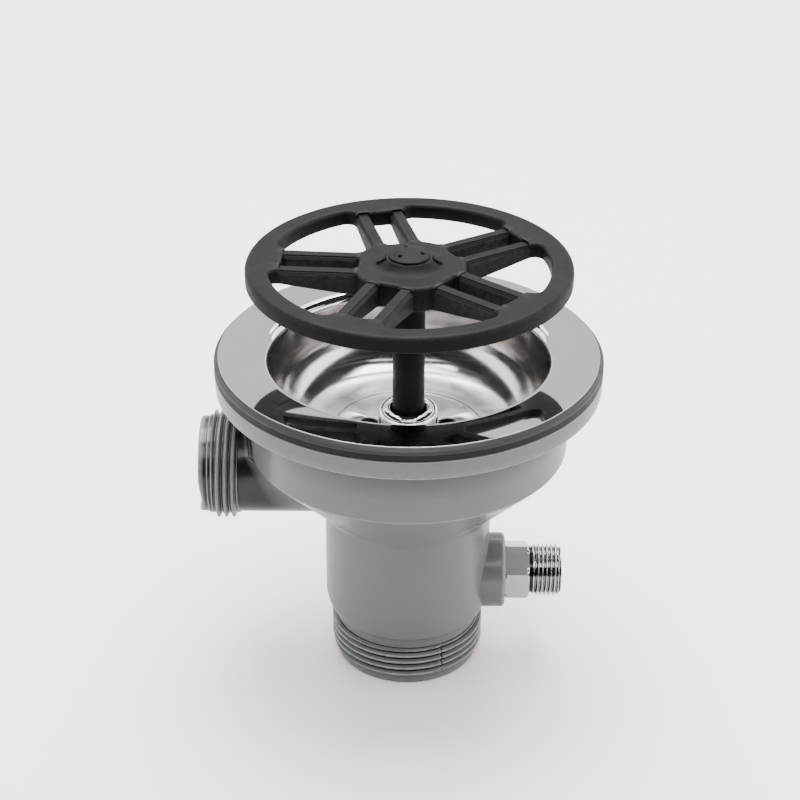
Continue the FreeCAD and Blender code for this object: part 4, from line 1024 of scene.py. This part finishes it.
# %% Carrier wheel: rim and hub
def around_edge(zone, level):
    """The edge of the rim's or the hub's face in one half: past the slot, across the rib and past
    the opening."""
    slot_part, opening_part = slot_loops[zone][level], opening_loops[zone][level]
    if zone == RIM:
        opening_part = opening_part[::-1]
    else:
        slot_part = slot_part[::-1]
    across = bridged(slot_part[-1:], opening_part[:1])[1:-1, 0]
    return np.concatenate([slot_part, across, opening_part])


def rings(edge_top, edge_foot, outline, top, steps=3):
    """Rows from the upper edge over rings (radius, height) to the lower edge."""
    turn = np.maximum.accumulate(np.angle(edge_top))
    turn = turn * math.radians(HALF_PAIR) / turn[-1]
    circles = outline[:, :1] * np.exp(1j * turn)[None, :]
    enter = bridged(edge_top[None, :], circles[:1], steps)[:-1]
    leave = bridged(circles[-1:], edge_foot[None, :], steps)[1:]
    heights = np.vstack([top + 0 * enter.real, outline[:, 1:] + 0 * circles.real, under(leave)])
    return np.vstack([enter, circles, leave]), heights


rim_outline = profile([
    (45.2, RIM_Z), (WHEEL_RADIUS, RIM_Z, 1.5), (WHEEL_RADIUS, UNDER_EDGE, 0.35), (44.5, UNDER_EDGE),
], False, 10)
add_half(*rings(around_edge(RIM, TOP), around_edge(RIM, FOOT), rim_outline, RIM_Z))

CONE_FOOT = 11.3
CONE_SHOULDER = 6.6
CONE_HEIGHT = 2.3
HUB_EDGE = 12.8
SCREW_BORE = 2.05
cone_radii = np.linspace(12.3, CONE_SHOULDER, 44)
cone_climb = np.clip((CONE_FOOT - cone_radii) / (CONE_FOOT - CONE_SHOULDER), 0, 1)
cone = np.stack([cone_radii, HUB_Z + CONE_HEIGHT * cone_climb**2.2], axis=1)
hub_outline = np.vstack([
    [(HUB_EDGE, HUB_Z)], cone,
    [(6.45, 137.65), (5.0, 137.65), (4.9, 137.5), (4.9, 133.1), (SCREW_BORE, 133.1),
     (SCREW_BORE, 131.53), (4.95, 131.53), (4.95, 127.5), (5.2, UNDER_HUB), (9, UNDER_HUB),
     (HUB_EDGE, float(under(HUB_EDGE)))],
])
add_half(*rings(around_edge(HUB, TOP), around_edge(HUB, FOOT), hub_outline, HUB_Z))
print("half a rib pair is", len(halves), "grids")


# %% Carrier wheel: all ten halves
def soft_step(value, width):
    """0 below -width/2, 1 above width/2, and a smooth rise between."""
    share = np.clip(value / width + 0.5, 0, 1)
    return share * share * (3 - 2 * share)


LUG_FROM, LUG_TO = 7.1, 9.6
LUG_HALF_WIDTH = 1.15
LUG_HEIGHT = 0.75
LUG_EDGE = 0.2


def with_lugs(points):
    """Raise two small lugs on the hub's cone, on the left and on the right."""
    x, y, z = np.moveaxis(points, -1, 0)
    radius = np.hypot(x, y)
    inside = soft_step(radius - LUG_FROM, LUG_EDGE) * soft_step(LUG_TO - radius, LUG_EDGE)
    inside = inside * soft_step(LUG_HALF_WIDTH - np.abs(y), LUG_EDGE)
    on_top = (z > 134) * (np.abs(x) > 3)
    return np.stack([x, y, z + LUG_HEIGHT * inside * on_top], axis=-1)


wheel_parts = []
for pair in range(PAIRS):
    heading = np.exp(1j * (PAIR_TURN + 2 * math.pi * pair / PAIRS))
    for side in (1, -1):
        for plan, height in halves:
            placed_plan = (plan.real + 1j * side * plan.imag) * heading
            points = np.stack([placed_plan.real, placed_plan.imag, height], axis=-1)
            wheel_parts.append(surface(with_lugs(points), columns_close=False))
make_piece("wheel_moulding", wheel_parts, "black_plastic", "plunger", ("carrier_wheel",), 32)

# %% [markdown]
# A small cap hides the screw in the hub: a shallow dome with a rim and three pits for a tool. Cutting
# the pits would break the dome's shading, so they are pressed into a fine grid: a point goes down
# where it is nearer to a pit's middle than the pit's radius.

# %% Hub cap
CAP_RADIUS = 6.3
CAP_BASE = 137.8
DOME_RADIUS = 4.9
DOME_TOP = 139.3
PIT_RADIUS = 0.62
PIT_PLACE = 3.9
PIT_DEPTH = 1.4
PITS = 3
dome_radii = np.linspace(DOME_RADIUS, 0.0, 66)
dome = DOME_TOP - 0.6 * np.clip((dome_radii - 2.4) / 2.6, 0, 1) ** 1.6
cap_outline = np.vstack([
    profile([
        (0.0, 135.8), (4.8, 135.8, 0.2), (4.8, CAP_BASE), (CAP_RADIUS, CAP_BASE, 0.12),
        (CAP_RADIUS, 138.4, 0.2), (5.75, 138.62, 0.15), (5.45, 138.55, 0.2), (5.0, 138.72),
    ], False, 5),
    np.stack([dome_radii, dome], axis=1),
])
cap_points = upright(cap_outline[:, :1], cap_outline[:, 1:], directions(420)[None, :])
for k in range(PITS):
    turn = math.radians(106 + 360 / PITS * k)
    pit_x, pit_y = PIT_PLACE * math.cos(turn), PIT_PLACE * math.sin(turn)
    distance = np.hypot(cap_points[..., 0] - pit_x, cap_points[..., 1] - pit_y)
    pit = soft_step(PIT_RADIUS - distance, 0.14) * (cap_points[..., 2] > CAP_BASE + 0.5)
    cap_points[..., 2] -= PIT_DEPTH * pit
make_piece("wheel_cap", [surface(cap_points)], "black_plastic", "plunger", ("hub_cap",), 32)

# %% [markdown]
# Stem, shaft, crank, clips and seals are plain turned or cut parts, mostly hidden in the neck. Their
# CAD shapes are right as they are, so they stay, and only get a finish.

# %% CAD nodes that keep their shape
kept_nodes = {
    "body_plastic": ["spider"],
    "black_plastic": ["stem"],
    "white_plastic": ["guide_bush", "stem_foot", "crank_arm"],
    "black_rubber": ["fitting_washer", "shaft_seal_inner", "shaft_seal_outer"],
    "brass": ["threaded_insert", "control_shaft"],
    "steel": ["stem_screw", "foot_clip", "arm_clip", "shaft_clip"],
}
for finish, names in kept_nodes.items():
    for name in names:
        for place in bpy.data.objects[name].material_slots:
            place.material = finishes[finish]
    print(finish, "on", names)

# %% [markdown]
# The product stands on white paper that sweeps up behind it, among broad soft lamps. The paper
# throws light back up on the walls, and the room in front is dark, so plastic turned towards the
# camera looks darker than its sides. Polished steel shows all of this: sweep, lamps and the black
# wheel. The camera sees the paper a little brighter than the steel does, as in a retouched photo.

# %% Paper sweep
SWEEP_START = 2.2
SWEEP_RADIUS = 0.5
SWEEP_TOP = 0.5
bend = np.linspace(0, math.pi / 2, 17)
sweep_end = SWEEP_START + SWEEP_RADIUS
sweep_y = np.concatenate([[-2.5], SWEEP_START + SWEEP_RADIUS * np.sin(bend), [sweep_end]])
sweep_z = np.concatenate([[0], SWEEP_RADIUS * (1 - np.cos(bend)), [SWEEP_TOP]]) - 0.0002
sweep_x = np.array([[-2.2, 2.2]])
sweep_grid = np.stack(np.broadcast_arrays(sweep_x, sweep_y[:, None], sweep_z[:, None]), axis=-1)
sweep_points, sweep_faces = surface(sweep_grid, columns_close=False)
sweep_mesh = bpy.data.meshes.new("paper_sweep")
sweep_mesh.from_pydata(sweep_points.tolist(), [], sweep_faces.tolist())
sweep_mesh.shade_smooth()
sweep = in_scene("paper_sweep", sweep_mesh)
print("the paper rises", SWEEP_TOP, "m", SWEEP_START, "m behind the product")

# %% Paper
PAPER_COLOR = (0.74, 0.715, 0.71)
SHOWN_COLOR = (0.84, 0.755, 0.74)
SHOWN_GAIN = 1.8
paper = bpy.data.materials.new("paper")
paper.use_nodes = True
sheet = paper.node_tree
lit_paper = sheet.nodes["Principled BSDF"]
lit_paper.inputs["Base Color"].default_value = (*PAPER_COLOR, 1)
lit_paper.inputs["Roughness"].default_value = 0.9
shown_paper = sheet.nodes.new("ShaderNodeBsdfDiffuse")
shown_paper.inputs["Color"].default_value = [part * SHOWN_GAIN for part in SHOWN_COLOR] + [1]
ray = sheet.nodes.new("ShaderNodeLightPath")
choice = sheet.nodes.new("ShaderNodeMixShader")
sources = (ray.outputs["Is Camera Ray"], lit_paper.outputs["BSDF"], shown_paper.outputs["BSDF"])
for source, socket in zip(sources, choice.inputs):
    sheet.links.new(source, socket)
sheet.links.new(choice.outputs["Shader"], sheet.nodes["Material Output"].inputs["Surface"])
sweep_mesh.materials.append(paper)
print("paper of colour", PAPER_COLOR)


# %% Lamps
def lamp(name, place, aim, width, depth, watts):
    """A rectangular soft lamp that shines from a place towards a point."""
    light = bpy.data.lights.new(name, "AREA")
    light.shape = "RECTANGLE"
    light.size, light.size_y = width, depth
    light.energy = watts
    direction = mathutils.Vector(aim) - mathutils.Vector(place)
    turn = direction.to_track_quat("-Z", "Y").to_matrix().to_4x4()
    in_scene(name, light).matrix_world = mathutils.Matrix.Translation(place) @ turn
    print("lamp", name, watts, "W")


lamp("overhead", (0, 0.25, 1.15), (0, 0.2, 0), 0.9, 0.8, 26)
lamp("behind", (0, 0.95, 1.15), (0, 0.1, 0), 1.2, 0.7, 9)
lamp("before", (0, -0.75, 1.25), (0, 0, 0), 1.2, 0.7, 10)
lamp("left", (-1.5, 0.2, 0.55), (0, 0, 0.1), 2.6, 1.0, 20)
lamp("right", (1.5, 0.2, 0.55), (0, 0, 0.1), 2.6, 1.0, 27)
lamp("far_wall", (0, 2.1, 0.85), (0, 0, 0.1), 5.0, 1.7, 27)

# %% Room
ROOM_LIGHT = 0.035
world = bpy.data.worlds.new("room")
world.use_nodes = True
room = world.node_tree.nodes["Background"]
room.inputs["Color"].default_value = (1.0, 0.985, 0.975, 1)
room.inputs["Strength"].default_value = ROOM_LIGHT
bpy.context.scene.world = world
print("the room's own light is", ROOM_LIGHT)
